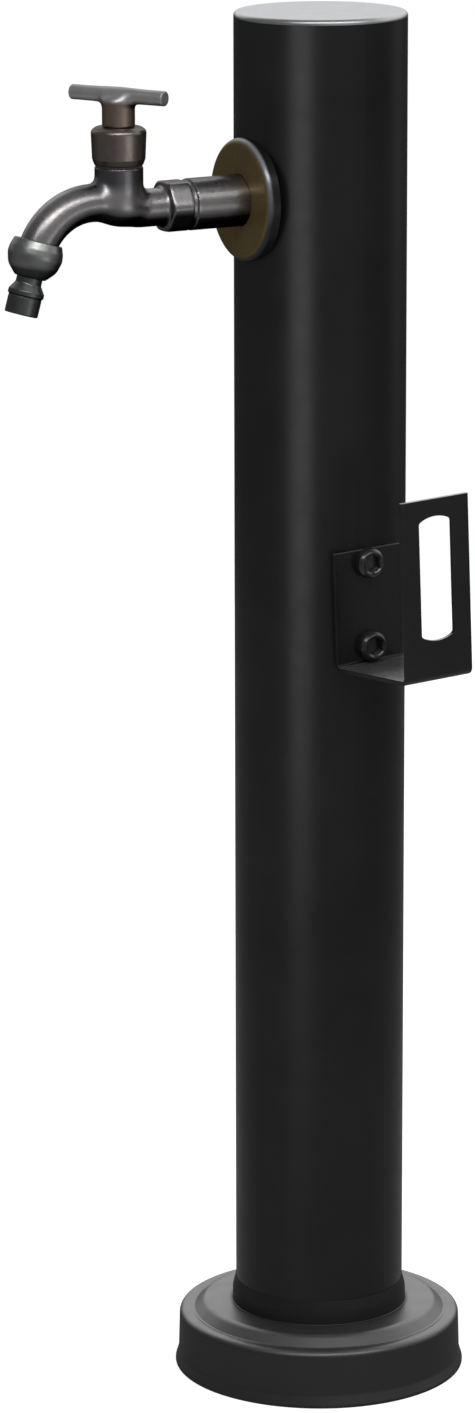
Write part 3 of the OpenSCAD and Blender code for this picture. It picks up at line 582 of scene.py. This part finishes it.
def piece(name, shape, node, body, look=None):
    """Makes the shape into a piece that stands for a node, which it hides: in the look of that node's slot
    unless another look is given, and on the given body.
    """
    verts, faces = shape
    mesh = bpy.data.meshes.new(name)
    mesh.from_pydata((np.asarray(verts) * MM).tolist(), [], [tuple(int(i) for i in face) for face in faces])
    work = bmesh.new()
    work.from_mesh(mesh)
    bmesh.ops.remove_doubles(work, verts=work.verts, dist=WELD_DISTANCE)
    bmesh.ops.recalc_face_normals(work, faces=work.faces)
    work.to_mesh(mesh)
    work.free()
    mesh.shade_smooth()
    mesh.set_sharp_from_angle(angle=SHARP_ANGLE)
    obj = bpy.data.objects.new(name, mesh)
    scene.collection.objects.link(obj)
    mesh.materials.append(MATERIALS[look or SLOT_OF[node]])
    flat = obj.modifiers.new("flat_faces", "WEIGHTED_NORMAL")
    flat.keep_sharp = True
    flat.weight = FLAT_FACE_WEIGHT
    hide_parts(node)
    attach(obj, body)


# Distance fields, for the two castings

# Farther than any surface that counts
FAR = 60.0
# How far apart a field is read to find its slope, and the least squared slope that is used
NUDGE = 0.02
LEAST_SLOPE = 0.1
# Newton steps towards the zero level, each at most this share of a cell
NEWTON_STEPS = 4
LONGEST_STEP = 0.5


def smooth_min(a, b, blend):
    share = np.clip(0.5 + 0.5 * (b - a) / blend, 0, 1)
    return b + (a - b) * share - blend * share * (1 - share)


def smooth_max(a, b, blend):
    return -smooth_min(-a, -b, blend)


def rounded_both(a, b, edge):
    """Inside both a and b, with the edge where they meet rounded off."""
    a, b = a + edge, b + edge
    return np.minimum(np.maximum(a, b), 0) + np.hypot(np.maximum(a, 0), np.maximum(b, 0)) - edge


def rod(across, along, radius, start, end, edge):
    """Round bar: "across" is the distance from its axis, "along" the place on it."""
    return rounded_both(across - radius, np.abs(along - (start + end) / 2) - (end - start) / 2, edge)


def cell_points(grid, value):
    """For each cell that the zero level passes through, the mean of the points where it crosses the cell's
    edges; and which cells these are."""
    inside = value < 0
    size = np.array(value.shape) - 1
    total = np.zeros((*size, 3))
    count = np.zeros(size)
    for corner in np.ndindex(2, 2, 2):
        for axis in range(3):
            if corner[axis]:
                continue
            other = tuple(at + (d == axis) for d, at in enumerate(corner))
            here = tuple(slice(at, at + cells) for at, cells in zip(corner, size))
            there = tuple(slice(at, at + cells) for at, cells in zip(other, size))
            crosses = inside[here] != inside[there]
            share = value[here] / np.where(crosses, value[here] - value[there], 1)
            share = np.where(crosses, share, 0)[..., None]
            point = grid[here] * (1 - share) + grid[there] * share
            total += np.where(crosses[..., None], point, 0)
            count += crosses
    used = count > 0
    return total[used] / count[used][:, None], used


def cell_quads(value, used):
    """Quads between the points of the four cells round each grid edge that crosses zero."""
    inside = value < 0
    size = np.array(used.shape)
    index = np.full(used.shape, -1)
    index[used] = np.arange(used.sum())
    faces = []
    for axis in range(3):
        u, v = [d for d in range(3) if d != axis]
        first, second = np.delete(inside, -1, axis), np.delete(inside, 0, axis)
        spots = np.argwhere(first != second)
        within = (spots[:, u] > 0) & (spots[:, v] > 0) & (spots[:, u] < size[u]) & (spots[:, v] < size[v])
        spots = spots[within]
        quad = []
        for back_u, back_v in ((1, 1), (0, 1), (0, 0), (1, 0)):
            cell = spots.copy()
            cell[:, u] -= back_u
            cell[:, v] -= back_v
            quad.append(index[tuple(cell.T)])
        quad = np.stack(quad, axis=1)
        as_is = first[tuple(spots.T)] != (axis == 1)
        quad[~as_is] = quad[~as_is][:, ::-1]
        faces.append(quad)
    return np.vstack(faces)


def field_mesh(field, low, high, cell):
    """Closed quad mesh on the zero level of a distance field, drawn onto the level by Newton steps."""
    axes = [np.arange(lowest, highest + cell, cell) for lowest, highest in zip(low, high)]
    grid = np.stack(np.meshgrid(*axes, indexing="ij"), axis=-1)
    value = field(grid.reshape(-1, 3)).reshape(grid.shape[:3])
    verts, used = cell_points(grid, value)
    faces = cell_quads(value, used)
    for _ in range(NEWTON_STEPS):
        here = field(verts)
        slope = np.stack([(field(verts + NUDGE * side) - field(verts - NUDGE * side)) / (2 * NUDGE)
                          for side in np.eye(3)], axis=1)
        strength = np.maximum((slope ** 2).sum(axis=1), LEAST_SLOPE)
        move = -(here / strength)[:, None] * slope
        length = np.linalg.norm(move, axis=1, keepdims=True)
        verts = verts + move * np.minimum(1, LONGEST_STEP * cell / np.maximum(length, 1e-9))
    return verts, faces


# Tap

TAP_AXIS = basis((0, 0, TAP_Z), (0, -1, 0))
VALVE_AXIS = basis((0, -VALVE_AT, TAP_Z), (0, 0, 1))
OUTLET_AXIS = basis(OUTLET, OUTLET_ALONG)


def tap_field(points):
    """Cast tap body: x across, s out along the inlet axis, z up from it."""
    x, s, z = points[:, 0], -points[:, 1], points[:, 2] - TAP_Z
    round_tap = np.hypot(x, z)
    round_valve = np.hypot(x, s - VALVE_AT)

    # One tube from the hexagon round to the spout's end, rising a little under the valve
    step = np.clip((s - RISE_START) / (BEND_AT - RISE_START), 0, 1)
    rise = SPOUT_RISE * step * step * (3 - 2 * step)
    bend_z = z - SPOUT_RISE + BEND_R
    bend_s = s - BEND_AT
    from_line = np.where(bend_s < 0, np.hypot(x, z - rise), np.hypot(x, np.hypot(bend_s, bend_z) - BEND_R))
    past_outlet = bend_s * math.cos(BEND_TURN) - bend_z * math.sin(BEND_TURN)
    tube = rounded_both(from_line - SPOUT_R, np.maximum(past_outlet, TUBE_START - s), 0.4)

    # Valve chamber with a round bottom, and its neck, which flows into the tube more widely above than below
    neck = rod(round_valve, z, NECK_R, -BOWL_R, NECK_TOP, 0.6)
    bowl = np.hypot(round_valve, z - BOWL_MIDDLE) - BOWL_R
    neck = np.where(z < BOWL_MIDDLE, smooth_max(neck, bowl, 2.0), neck)
    blend = 2.6 + 1.8 * np.clip((z + 6) / 8, 0, 1)
    body = smooth_min(tube, neck, blend)

    # Hexagon with turned corners, groove, shank and tail
    from_hex = np.abs(s - HEX_MIDDLE)
    flats = [np.abs(x * math.cos(turn) + z * math.sin(turn)) for turn in np.radians((30, 90, 150))]
    flats = np.max(flats, axis=0) - HEX_HALF_FLATS
    corners = round_tap - HEX_TURNED_R + np.maximum(0, from_hex - HEX_CHAMFER_FROM) * HEX_CHAMFER
    hexagon = rounded_both(smooth_max(flats, corners, 0.8), from_hex - HEX_HALF_LENGTH, 0.7)
    shank = rod(round_tap, s, SHANK_R, SHANK_START, SHANK_END, 0.5)
    tail = rod(round_tap, s, TAIL_R, TAIL_START, GROOVE_END, 0.5)
    solid = smooth_min(body, hexagon, 1.6)
    solid = smooth_min(solid, smooth_min(shank, tail, 0.4), 0.4)
    return smooth_max(solid, -tap_waterways(x, s, z, from_line), 0.3)


def tap_waterways(x, s, z, from_line):
    """Inlet, seat, chamber, bonnet thread, passage and spout bore."""
    round_tap = np.hypot(x, z)
    round_valve = np.hypot(x, s - VALVE_AT)
    inlet_r, seat_r, chamber_r, thread_r, passage_r = 4.5, 4.0, 7.8, 8.4, 2.75
    inlet_end, passage_start, passage_z = 104.7, 106.5, 7.775
    seat_top, chamber_foot, thread_foot, above_neck = 7.0, 6.4, 11.8, 30.0
    inlet = rod(round_tap, s, inlet_r, 0, inlet_end, 0.3)
    seat = rod(round_valve, z, seat_r, 0, seat_top, 0.2)
    chamber = rod(round_valve, z, chamber_r, chamber_foot, above_neck, 0.3)
    thread = rod(round_valve, z, thread_r, thread_foot, above_neck, 0.2)
    passage = rod(np.hypot(x, z - passage_z), s, passage_r, passage_start, BEND_AT + 1, 0.2)
    in_spout = (s > BEND_AT - 1) & (z - SPOUT_RISE + BEND_R > -15)
    bore = np.where(in_spout, from_line - SPOUT_BORE_R, FAR)
    return np.min([inlet, seat, chamber, thread, passage, bore], axis=0)


def tap_shape():
    low = (-13.2, -150, TAP_Z - 27)
    high = (13.2, -17, TAP_Z + 20.4)
    return field_mesh(tap_field, low, high, cell=0.6)


def handle_field(points):
    """Cast T handle: u along the bar, v across it, z up from the tap's axis."""
    x, y, z = points[:, 0], points[:, 1] + VALVE_AT, points[:, 2] - TAP_Z
    u = x * math.cos(BAR_TURN) + y * math.sin(BAR_TURN)
    v = -x * math.sin(BAR_TURN) + y * math.cos(BAR_TURN)
    around = np.hypot(u, v)
    bar_r = BAR_R + BAR_SWELL * np.exp(-(u / BAR_SWELL_REACH) ** 2)
    bar = rounded_both(np.hypot(v, z - BAR_MIDDLE) - bar_r, np.abs(u) - BAR_HALF_LENGTH, 0.4)
    below_foot = 30.0
    hub = rod(around, z, HUB_R, below_foot, HUB_TOP, 2.6)
    solid = rounded_both(smooth_min(bar, hub, 4.0), HUB_FOOT - z, 0.25)
    spindle = rod(around, z, SPINDLE_HOLE_R, below_foot, SPINDLE_HOLE_TOP, 0.2)
    set_screw = np.where(v > 0, np.hypot(u, z - SET_SCREW_Z) - SET_SCREW_HOLE_R, FAR)
    return smooth_max(solid, -np.minimum(spindle, set_screw), 0.3)


def handle_shape():
    reach = 25.5
    low = (-reach, -VALVE_AT - reach, TAP_Z + 35)
    high = (reach, -VALVE_AT + reach, TAP_Z + 54)
    return field_mesh(handle_field, low, high, cell=0.5)


def bonnet_shape():
    """Barrel-shaped bonnet, screwed into the neck and bored for the spindle: heights from the tap's axis."""
    bore_r, recess_r, thread_r = 5.08, 6.9, 8.35
    foot, recess_top, shoulder, top = 11.85, 15.85, 19.8, 36.0
    return put(turned_ring([
        (bore_r, recess_top, 0), (bore_r, 35.5, 0), (5.6, top, 0.2), (9.8, top, 2.4), (12.0, 34.4, 2.2),
        (11.5, 22.4, 1.4), (10.6, shoulder, 0.4), (thread_r, shoulder, 0.1), (thread_r, foot, 0.3),
        (recess_r, foot, 0.2), (recess_r, recess_top, 0.2),
    ]), VALVE_AXIS)


def union_shape():
    """Pear-shaped union nut: heights along the spout from its end."""
    thread_r, hole_r = 9.475, 5.65
    top, thread_end, foot = -6.2, 3.55, 9.6
    return put(turned_ring([
        (thread_r, thread_end, 0.1), (thread_r, top, 0.3), (10.4, top, 0.5), (11.55, -2.9, 4), (12.0, 0.2, 6),
        (10.6, 5.4, 7), (7.0, 9.2, 3), (6.4, foot, 0.3), (hole_r, foot, 0.2), (hole_r, thread_end, 0.1),
    ]), OUTLET_AXIS)


def nozzle_shape():
    """Stepped hose nozzle with a flange inside the nut: heights along the spout from its end."""
    bore_r, neck_r, tip_r, collar_r, flange_r = 4.0, 5.6, 7.25, 7.8, 9.175
    flange_top, flange_foot, foot = 1.5, 3.5, 25.8
    return put(turned_ring([
        (bore_r, flange_top, 0.2), (flange_r, flange_top, 0.3), (flange_r, flange_foot, 0.3),
        (neck_r, flange_foot, 0.2), (neck_r, 12.2, 1.6), (collar_r, 15.6, 0.9), (collar_r, 17.3, 0.4),
        (7.15, 17.9, 0.3), (tip_r, 18.6, 0.3), (tip_r, foot, 0.6), (4.6, foot, 0.4), (bore_r, 25.2, 0.2),
    ]), OUTLET_AXIS)


def rosette_shape():
    """Cup round the shank, with a rim that the round column notches: heights out from the column's axis."""
    hole_r, inner_r, outer_r = 11.35, 25.8, 27.0
    back, inside, face = 35.2, 40.0, 41.2
    clear_r = COLUMN_R + 0.08
    segments = 192
    outer = rounded([(hole_r, inside, 0), (hole_r, face, 0.3), (outer_r, face, 3.0), (outer_r, back, 0)])
    inner = rounded([(inner_r, back, 0), (inner_r, inside, 1.8), (hole_r, inside, 0)])
    rings = []
    for radius, height in outer + inner[:-1]:
        ring = []
        for k in range(segments):
            angle = 2 * math.pi * k / segments
            across = radius * math.cos(angle)
            column = math.sqrt(max(0.0, clear_r ** 2 - across ** 2))
            ring.append((across, radius * math.sin(angle), max(height, column)))
        rings.append(ring)
    return put(loft(rings, True, segments), TAP_AXIS)


# Column and base


def cap_shape():
    """Cap disc with a round edge, and its plug inside the tube."""
    under, plug_end = TOP_Z - 2.5, TOP_Z - 14.5
    plug_inner_r, plug_r = 34.45, 36.45
    return lathe(rounded([
        (0.0, under, 0), (plug_inner_r, under, 0.2), (plug_inner_r, plug_end, 0.2), (35.4, plug_end, 0.2),
        (plug_r, plug_end + 1, 0.3), (plug_r, under, 0.1), (COLUMN_R, under, 0.15), (COLUMN_R, TOP_Z, 2.1),
        (0.0, TOP_Z, 0),
    ]), segments=192)


def cover_shape():
    """Spun base cover: flared foot, skirt, rim, groove, slope, raised middle, and a neck round the column."""
    foot_r, foot_inner_r, neck_inner_r, hug_r = 65.9, 63.6, 38.4, 38.15
    rim, middle, neck_top = 26.0, 30.1, 41.0
    under_rim, under_middle = 24.4, 28.9
    outer = [
        (foot_inner_r, 0.0, 0.3), (foot_r, 0.0, 0.7), (foot_r, 1.5, 0.8), (64.45, 6.0, 6.0), (63.9, rim, 3.0),
        (58.9, rim, 1.5), (57.6, 25.6, 0.8), (57.0, 25.8, 1.2), (52.1, middle, 5.0), (39.6, middle, 0.35),
        (39.5, 36.0, 8.0), (38.3, neck_top, 0.05),
    ]
    inner = [
        (hug_r, neck_top, 0.05), (hug_r, 40.0, 0.1), (neck_inner_r, 39.0, 0.3),
        (neck_inner_r, under_middle, 0.4), (51.4, under_middle, 3.8), (56.4, under_rim, 0.8),
        (60.9, under_rim, 0.8), (62.7, 22.6, 1.4), (63.2, 6.0, 3.0), (foot_inner_r, 1.6, 0.3),
    ]
    return turned_ring(outer + inner, segments=256)


# Bracket


def on_bracket(verts):
    """Leans bracket shapes about the middle between the screws, then turns them about the column's axis."""
    verts = np.array(verts, float)
    pivot = sum(SCREW_Z) / 2
    cosine, sine = math.cos(BRACKET_LEAN), math.sin(BRACKET_LEAN)
    y, z = verts[:, 1].copy(), verts[:, 2] - pivot
    verts[:, 1], verts[:, 2] = cosine * y - sine * z, sine * y + cosine * z + pivot
    cosine, sine = math.cos(BRACKET_TURN), math.sin(BRACKET_TURN)
    x, y = verts[:, 0].copy(), verts[:, 1].copy()
    verts[:, 0], verts[:, 1] = cosine * x - sine * y, sine * x + cosine * y
    return verts


def screws_shape():
    """Cap heads with a round shoulder, a dished face and a hexagon socket: heights from the plate's face."""
    shaft_r, head_r, shaft_end, top = 3.0, 6.7, -14.0, 5.0
    head = rounded([(shaft_r, shaft_end, 0), (shaft_r, -0.01, 0), (head_r, 0.0, 0.2), (head_r, 3.2, 1.9),
                    (5.3, top, 1.0), (4.7, 4.8, 0.3), (4.4, 4.4, 0)])
    socket = [(3.75, 4.1), (3.7, 1.4), (0.0, 1.2)]
    socket_start = 1 + len(head)

    def radius_at(i, radius, angle):
        if i < socket_start:
            return radius
        from_flat = (angle + math.pi / 6) % (math.pi / 3) - math.pi / 6
        return radius / math.cos(from_flat)

    screw = lathe([(0.0, shaft_end)] + head + socket, segments=72, radius_at=radius_at)
    screws = []
    for z in SCREW_Z:
        verts, faces = put(screw, basis((BRACKET_FACE, 0, z), (1, 0, 0), (0, 1, 0)))
        screws.append((on_bracket(verts), faces))
    return join(*screws)


def slot_outline():
    """Slot with straight sides, shallow round ends and small round corners, about its centre."""
    half, tall = SLOT_WIDTH / 2, SLOT_HEIGHT / 2
    end_middle = tall - SLOT_END_R
    corner = tall - (SLOT_END_R - math.sqrt(SLOT_END_R ** 2 - half ** 2))
    arch = [(half * share, end_middle + math.sqrt(SLOT_END_R ** 2 - (half * share) ** 2), 0)
            for share in np.linspace(0.84, -0.84, 21)]
    foot = [(y, -z, 0) for y, z, _ in arch[::-1]]
    right = [(half, -corner, SLOT_CORNER_R), (half, corner, SLOT_CORNER_R)]
    left = [(-half, corner, SLOT_CORNER_R), (-half, -corner, SLOT_CORNER_R)]
    return rounded(right + arch + left + foot, closed=True, turn_step=math.radians(15))


def bracket_line():
    """Inner face of the folded strip, seen along its folds, from the mounting plate's top to the end plate's
    foot: (x, z) points, each with the direction out of the face; and the height of that foot."""
    fold_steps = 7

    def fold_centre(x):
        return x, SHELF_Z + (x - BRACKET_FACE) * math.tan(SHELF_SLOPE) + FOLD_R / math.cos(SHELF_SLOPE)

    back = fold_centre(BRACKET_FACE + FOLD_R)
    end = fold_centre(BRACKET_END - SHEET - FOLD_R)
    down = math.radians(270) + SHELF_SLOPE
    line = [((BRACKET_FACE, MOUNT_TOP), (1.0, 0.0))]
    for (x, z), first_angle, last_angle in ((back, math.pi, down), (end, down, 2 * math.pi)):
        for k in range(fold_steps + 1):
            angle = first_angle + (last_angle - first_angle) * k / fold_steps
            cosine, sine = math.cos(angle), math.sin(angle)
            line.append(((x + FOLD_R * cosine, z + FOLD_R * sine), (-cosine, -sine)))
    return line, end[1]


def bracket_shape():
    """Strip folded twice, with a slot in its end plate and rounded edges."""
    line, end_foot = bracket_line()
    columns, rows = 12, 14
    across = np.linspace(-BRACKET_HALF_WIDTH, BRACKET_HALF_WIDTH, columns + 1)
    heights = np.linspace(end_foot, END_TOP, rows + 1)[1:]
    outline = slot_outline()
    work = bmesh.new()

    # Points of the strip's inner and outer face up to the end plate, then of the end plate's slot and border
    sides = []
    for depth in (0.0, SHEET):
        sides.append([[work.verts.new((x - out_x * depth, y, z - out_z * depth)) for y in across]
                      for (x, z), (out_x, out_z) in line])
    slots, borders = [], []
    for side, x in zip(sides, (BRACKET_END - SHEET, BRACKET_END)):
        slots.append([work.verts.new((x, y, SLOT_Z + z)) for y, z in outline])
        right = [work.verts.new((x, BRACKET_HALF_WIDTH, z)) for z in heights]
        top = [work.verts.new((x, y, END_TOP)) for y in across[::-1][1:]]
        left = [work.verts.new((x, -BRACKET_HALF_WIDTH, z)) for z in heights[::-1][1:]]
        borders.append(side[-1] + right + top + left)

    # Faces of the strip, of the end plate between slot and border, and of the walls between both sides
    for side, order in zip(sides, (1, -1)):
        for row, next_row in zip(side, side[1:]):
            for k in range(columns):
                quad = (row[k], row[k + 1], next_row[k + 1], next_row[k])
                work.faces.new(quad[::order])
    for slot, border in zip(slots, borders):
        loop_edges = []
        for loop in (slot, border):
            for a, b in zip(loop, loop[1:] + loop[:1]):
                loop_edges.append(work.edges.get((a, b)) or work.edges.new((a, b)))
        bmesh.ops.triangle_fill(work, use_beauty=True, edges=loop_edges, normal=(1, 0, 0))
    walls = [
        [slot + slot[:1] for slot in slots],
        [[row[0] for row in side] for side in sides],
        [[row[-1] for row in side] for side in sides],
        [side[0] for side in sides],
        [border[columns:] + border[:1] for border in borders],
    ]
    for near, far in walls:
        for quad in zip(near, near[1:], far[1:], far):
            work.faces.new(quad)

    bmesh.ops.recalc_face_normals(work, faces=work.faces)
    sharp = [edge for edge in work.edges
             if len(edge.link_faces) == 2 and edge.calc_face_angle(0) > math.radians(50)]
    bmesh.ops.bevel(work, geom=sharp, offset=SHEET_EDGE_R, offset_type="OFFSET", segments=2, profile=0.5,
                    affect="EDGES", clamp_overlap=True)
    bmesh.ops.recalc_face_normals(work, faces=work.faces)
    work.verts.index_update()
    verts = on_bracket([tuple(vert.co) for vert in work.verts])
    faces = [tuple(vert.index for vert in face.verts) for face in work.faces]
    work.free()
    return verts, faces


# Studio

METALS = ("bronze", "bonnet_bronze", "dark_bronze", "nozzle_bronze", "rosette_bronze", "tee_bronze")
# Turns round the column from the camera to the middle of the white wall and to the room's brightest place
WALL_TURN = math.radians(158)
ROOM_TURN = math.radians(42)


def light_path(tree, *names):
    """1 for rays of any of these kinds."""
    path = add(tree, "ShaderNodeLightPath")
    share = path.outputs[names[0]]
    for name in names[1:]:
        either = add(tree, "ShaderNodeMath", {0: share, 1: path.outputs[name]}, operation="MAXIMUM")
        share = either.outputs[0]
    return share


def make_world(light, dim, bright, below):
    """White background. Reflections see a white wall behind the object, dim towards the ceiling and dark
    below, and a dim room in front of it, brighter on the picture's right."""
    world = bpy.data.worlds.new("studio")
    scene.world = world
    world.use_nodes = True
    tree = world.node_tree
    shader = tree.nodes["Background"]
    shader.inputs["Color"].default_value = (1, 1, 1, 1)
    direction = add(tree, "ShaderNodeTexCoord").outputs["Generated"]
    height = add(tree, "ShaderNodeSeparateXYZ", {"Vector": direction}).outputs["Z"]
    behind = dot(tree, direction, outward(CAMERA_AZIMUTH + WALL_TURN))
    beside = dot(tree, direction, outward(CAMERA_AZIMUTH + ROOM_TURN))
    room = spread(tree, beside, dim, bright, 0.55, 1.0)
    white = spread(tree, height, 1.0, dim, 0.62, 0.9)
    wall = between(tree, spread(tree, behind, 0.0, 1.0, 0.05, 0.5), room, white)
    ground = between(tree, spread(tree, behind, 0.0, 1.0, -0.4, 0.3), room, below)
    mirrored = between(tree, spread(tree, height, 0.0, 1.0, 0.0, 0.14), ground, wall)
    level = between(tree, light_path(tree, "Is Glossy Ray"), light, mirrored)
    level = between(tree, light_path(tree, "Is Camera Ray", "Is Transmission Ray"), level, 1.0)
    tree.links.new(level, shader.inputs["Strength"])


def make_floor(radius, colour, lift, near, far):
    """Pale round floor, lifted to white where it is seen directly. Reflections see it darker: "near" close to
    the column, "far" further out."""
    sides = 96
    turns = [2 * math.pi * k / sides for k in range(sides)]
    rim = [(radius * math.cos(turn), radius * math.sin(turn), 0) for turn in turns]
    mesh = bpy.data.meshes.new("floor")
    mesh.from_pydata(rim, [], [tuple(range(sides))])
    floor = bpy.data.objects.new("floor", mesh)
    scene.collection.objects.link(floor)
    tree, shader = new_material("floor")
    mirrored = spread(tree, from_axis(tree), near, far, 300.0, 900.0)
    seen = light_path(tree, "Is Camera Ray", "Is Transmission Ray")
    finish_shader(tree, shader,
                  Base_Color=mix(tree, light_path(tree, "Is Glossy Ray"), grey(colour), mirrored),
                  Roughness=0.9, Specular_IOR_Level=0.0, Emission_Color=grey(1.0),
                  Emission_Strength=times(tree, seen, lift))
    mesh.materials.append(MATERIALS["floor"])


def soft_light(name, turn, distance, height, width, tall, power, aim_height=0.35, only=None):
    """Rectangular soft box, "turn" degrees round the column from the camera, to the picture's right. "only"
    names the looks that it lights, as a studio flag would keep it off the others."""
    data = bpy.data.lights.new(name, "AREA")
    data.shape = "RECTANGLE"
    data.size = width
    data.size_y = tall
    data.energy = power
    lamp = bpy.data.objects.new(name, data)
    scene.collection.objects.link(lamp)
    lamp.location = outward(CAMERA_AZIMUTH + math.radians(turn)) * distance + Vector((0, 0, height))
    lamp.rotation_mode = "QUATERNION"
    lamp.rotation_quaternion = (Vector((0, 0, aim_height)) - lamp.location).to_track_quat("-Z", "Y")
    if only:
        lit = bpy.data.collections.new(name + "_lit")
        looks = [MATERIALS[look] for look in only]
        for obj in scene.objects:
            if obj.type == "MESH" and obj.data.materials and obj.data.materials[0] in looks:
                lit.objects.link(obj)
        lamp.light_linking.receiver_collection = lit


# Scene

make_camera()
finish_nodes()
piece("tap_casting", tap_shape(), "tap_body", "column")
piece("tee_casting", handle_shape(), "tee_handle", "handle", "tee_bronze")
piece("bonnet_turned", bonnet_shape(), "bonnet", "column", "bonnet_bronze")
piece("union_turned", union_shape(), "union_nut", "column")
piece("nozzle_turned", nozzle_shape(), "hose_nozzle", "column", "nozzle_bronze")
piece("rosette_cup", rosette_shape(), "rosette", "column")
piece("cap_disc", cap_shape(), "top_cap", "column")
piece("cover_spun", cover_shape(), "base_cover", "cover")
piece("bracket_folded", bracket_shape(), "hose_bracket", "column", "bracket_coat")
piece("screw_heads", screws_shape(), "bracket_screws", "column")

scene.view_settings.view_transform = "Standard"
make_world(light=0.45, dim=0.15, bright=0.41, below=0.05)
make_floor(radius=1.6, colour=0.8, lift=0.72, near=0.48, far=0.3)
soft_light("key", turn=13, distance=1.9, height=2.5, width=4.4, tall=0.7, power=36)
soft_light("column_light", turn=-25, distance=1.1, height=0.36, width=0.5, tall=0.66, power=3.1,
           only=("black_coat",))
soft_light("edge_light", turn=120, distance=1.2, height=0.5, width=0.5, tall=0.6, power=0.2, aim_height=0.5,
           only=("black_coat",))
soft_light("side_light", turn=44, distance=1.4, height=0.22, width=0.7, tall=0.42, power=0.85, only=METALS)
soft_light("tap_light", turn=4, distance=1.6, height=1.9, width=0.9, tall=0.4, power=3.5, only=METALS)
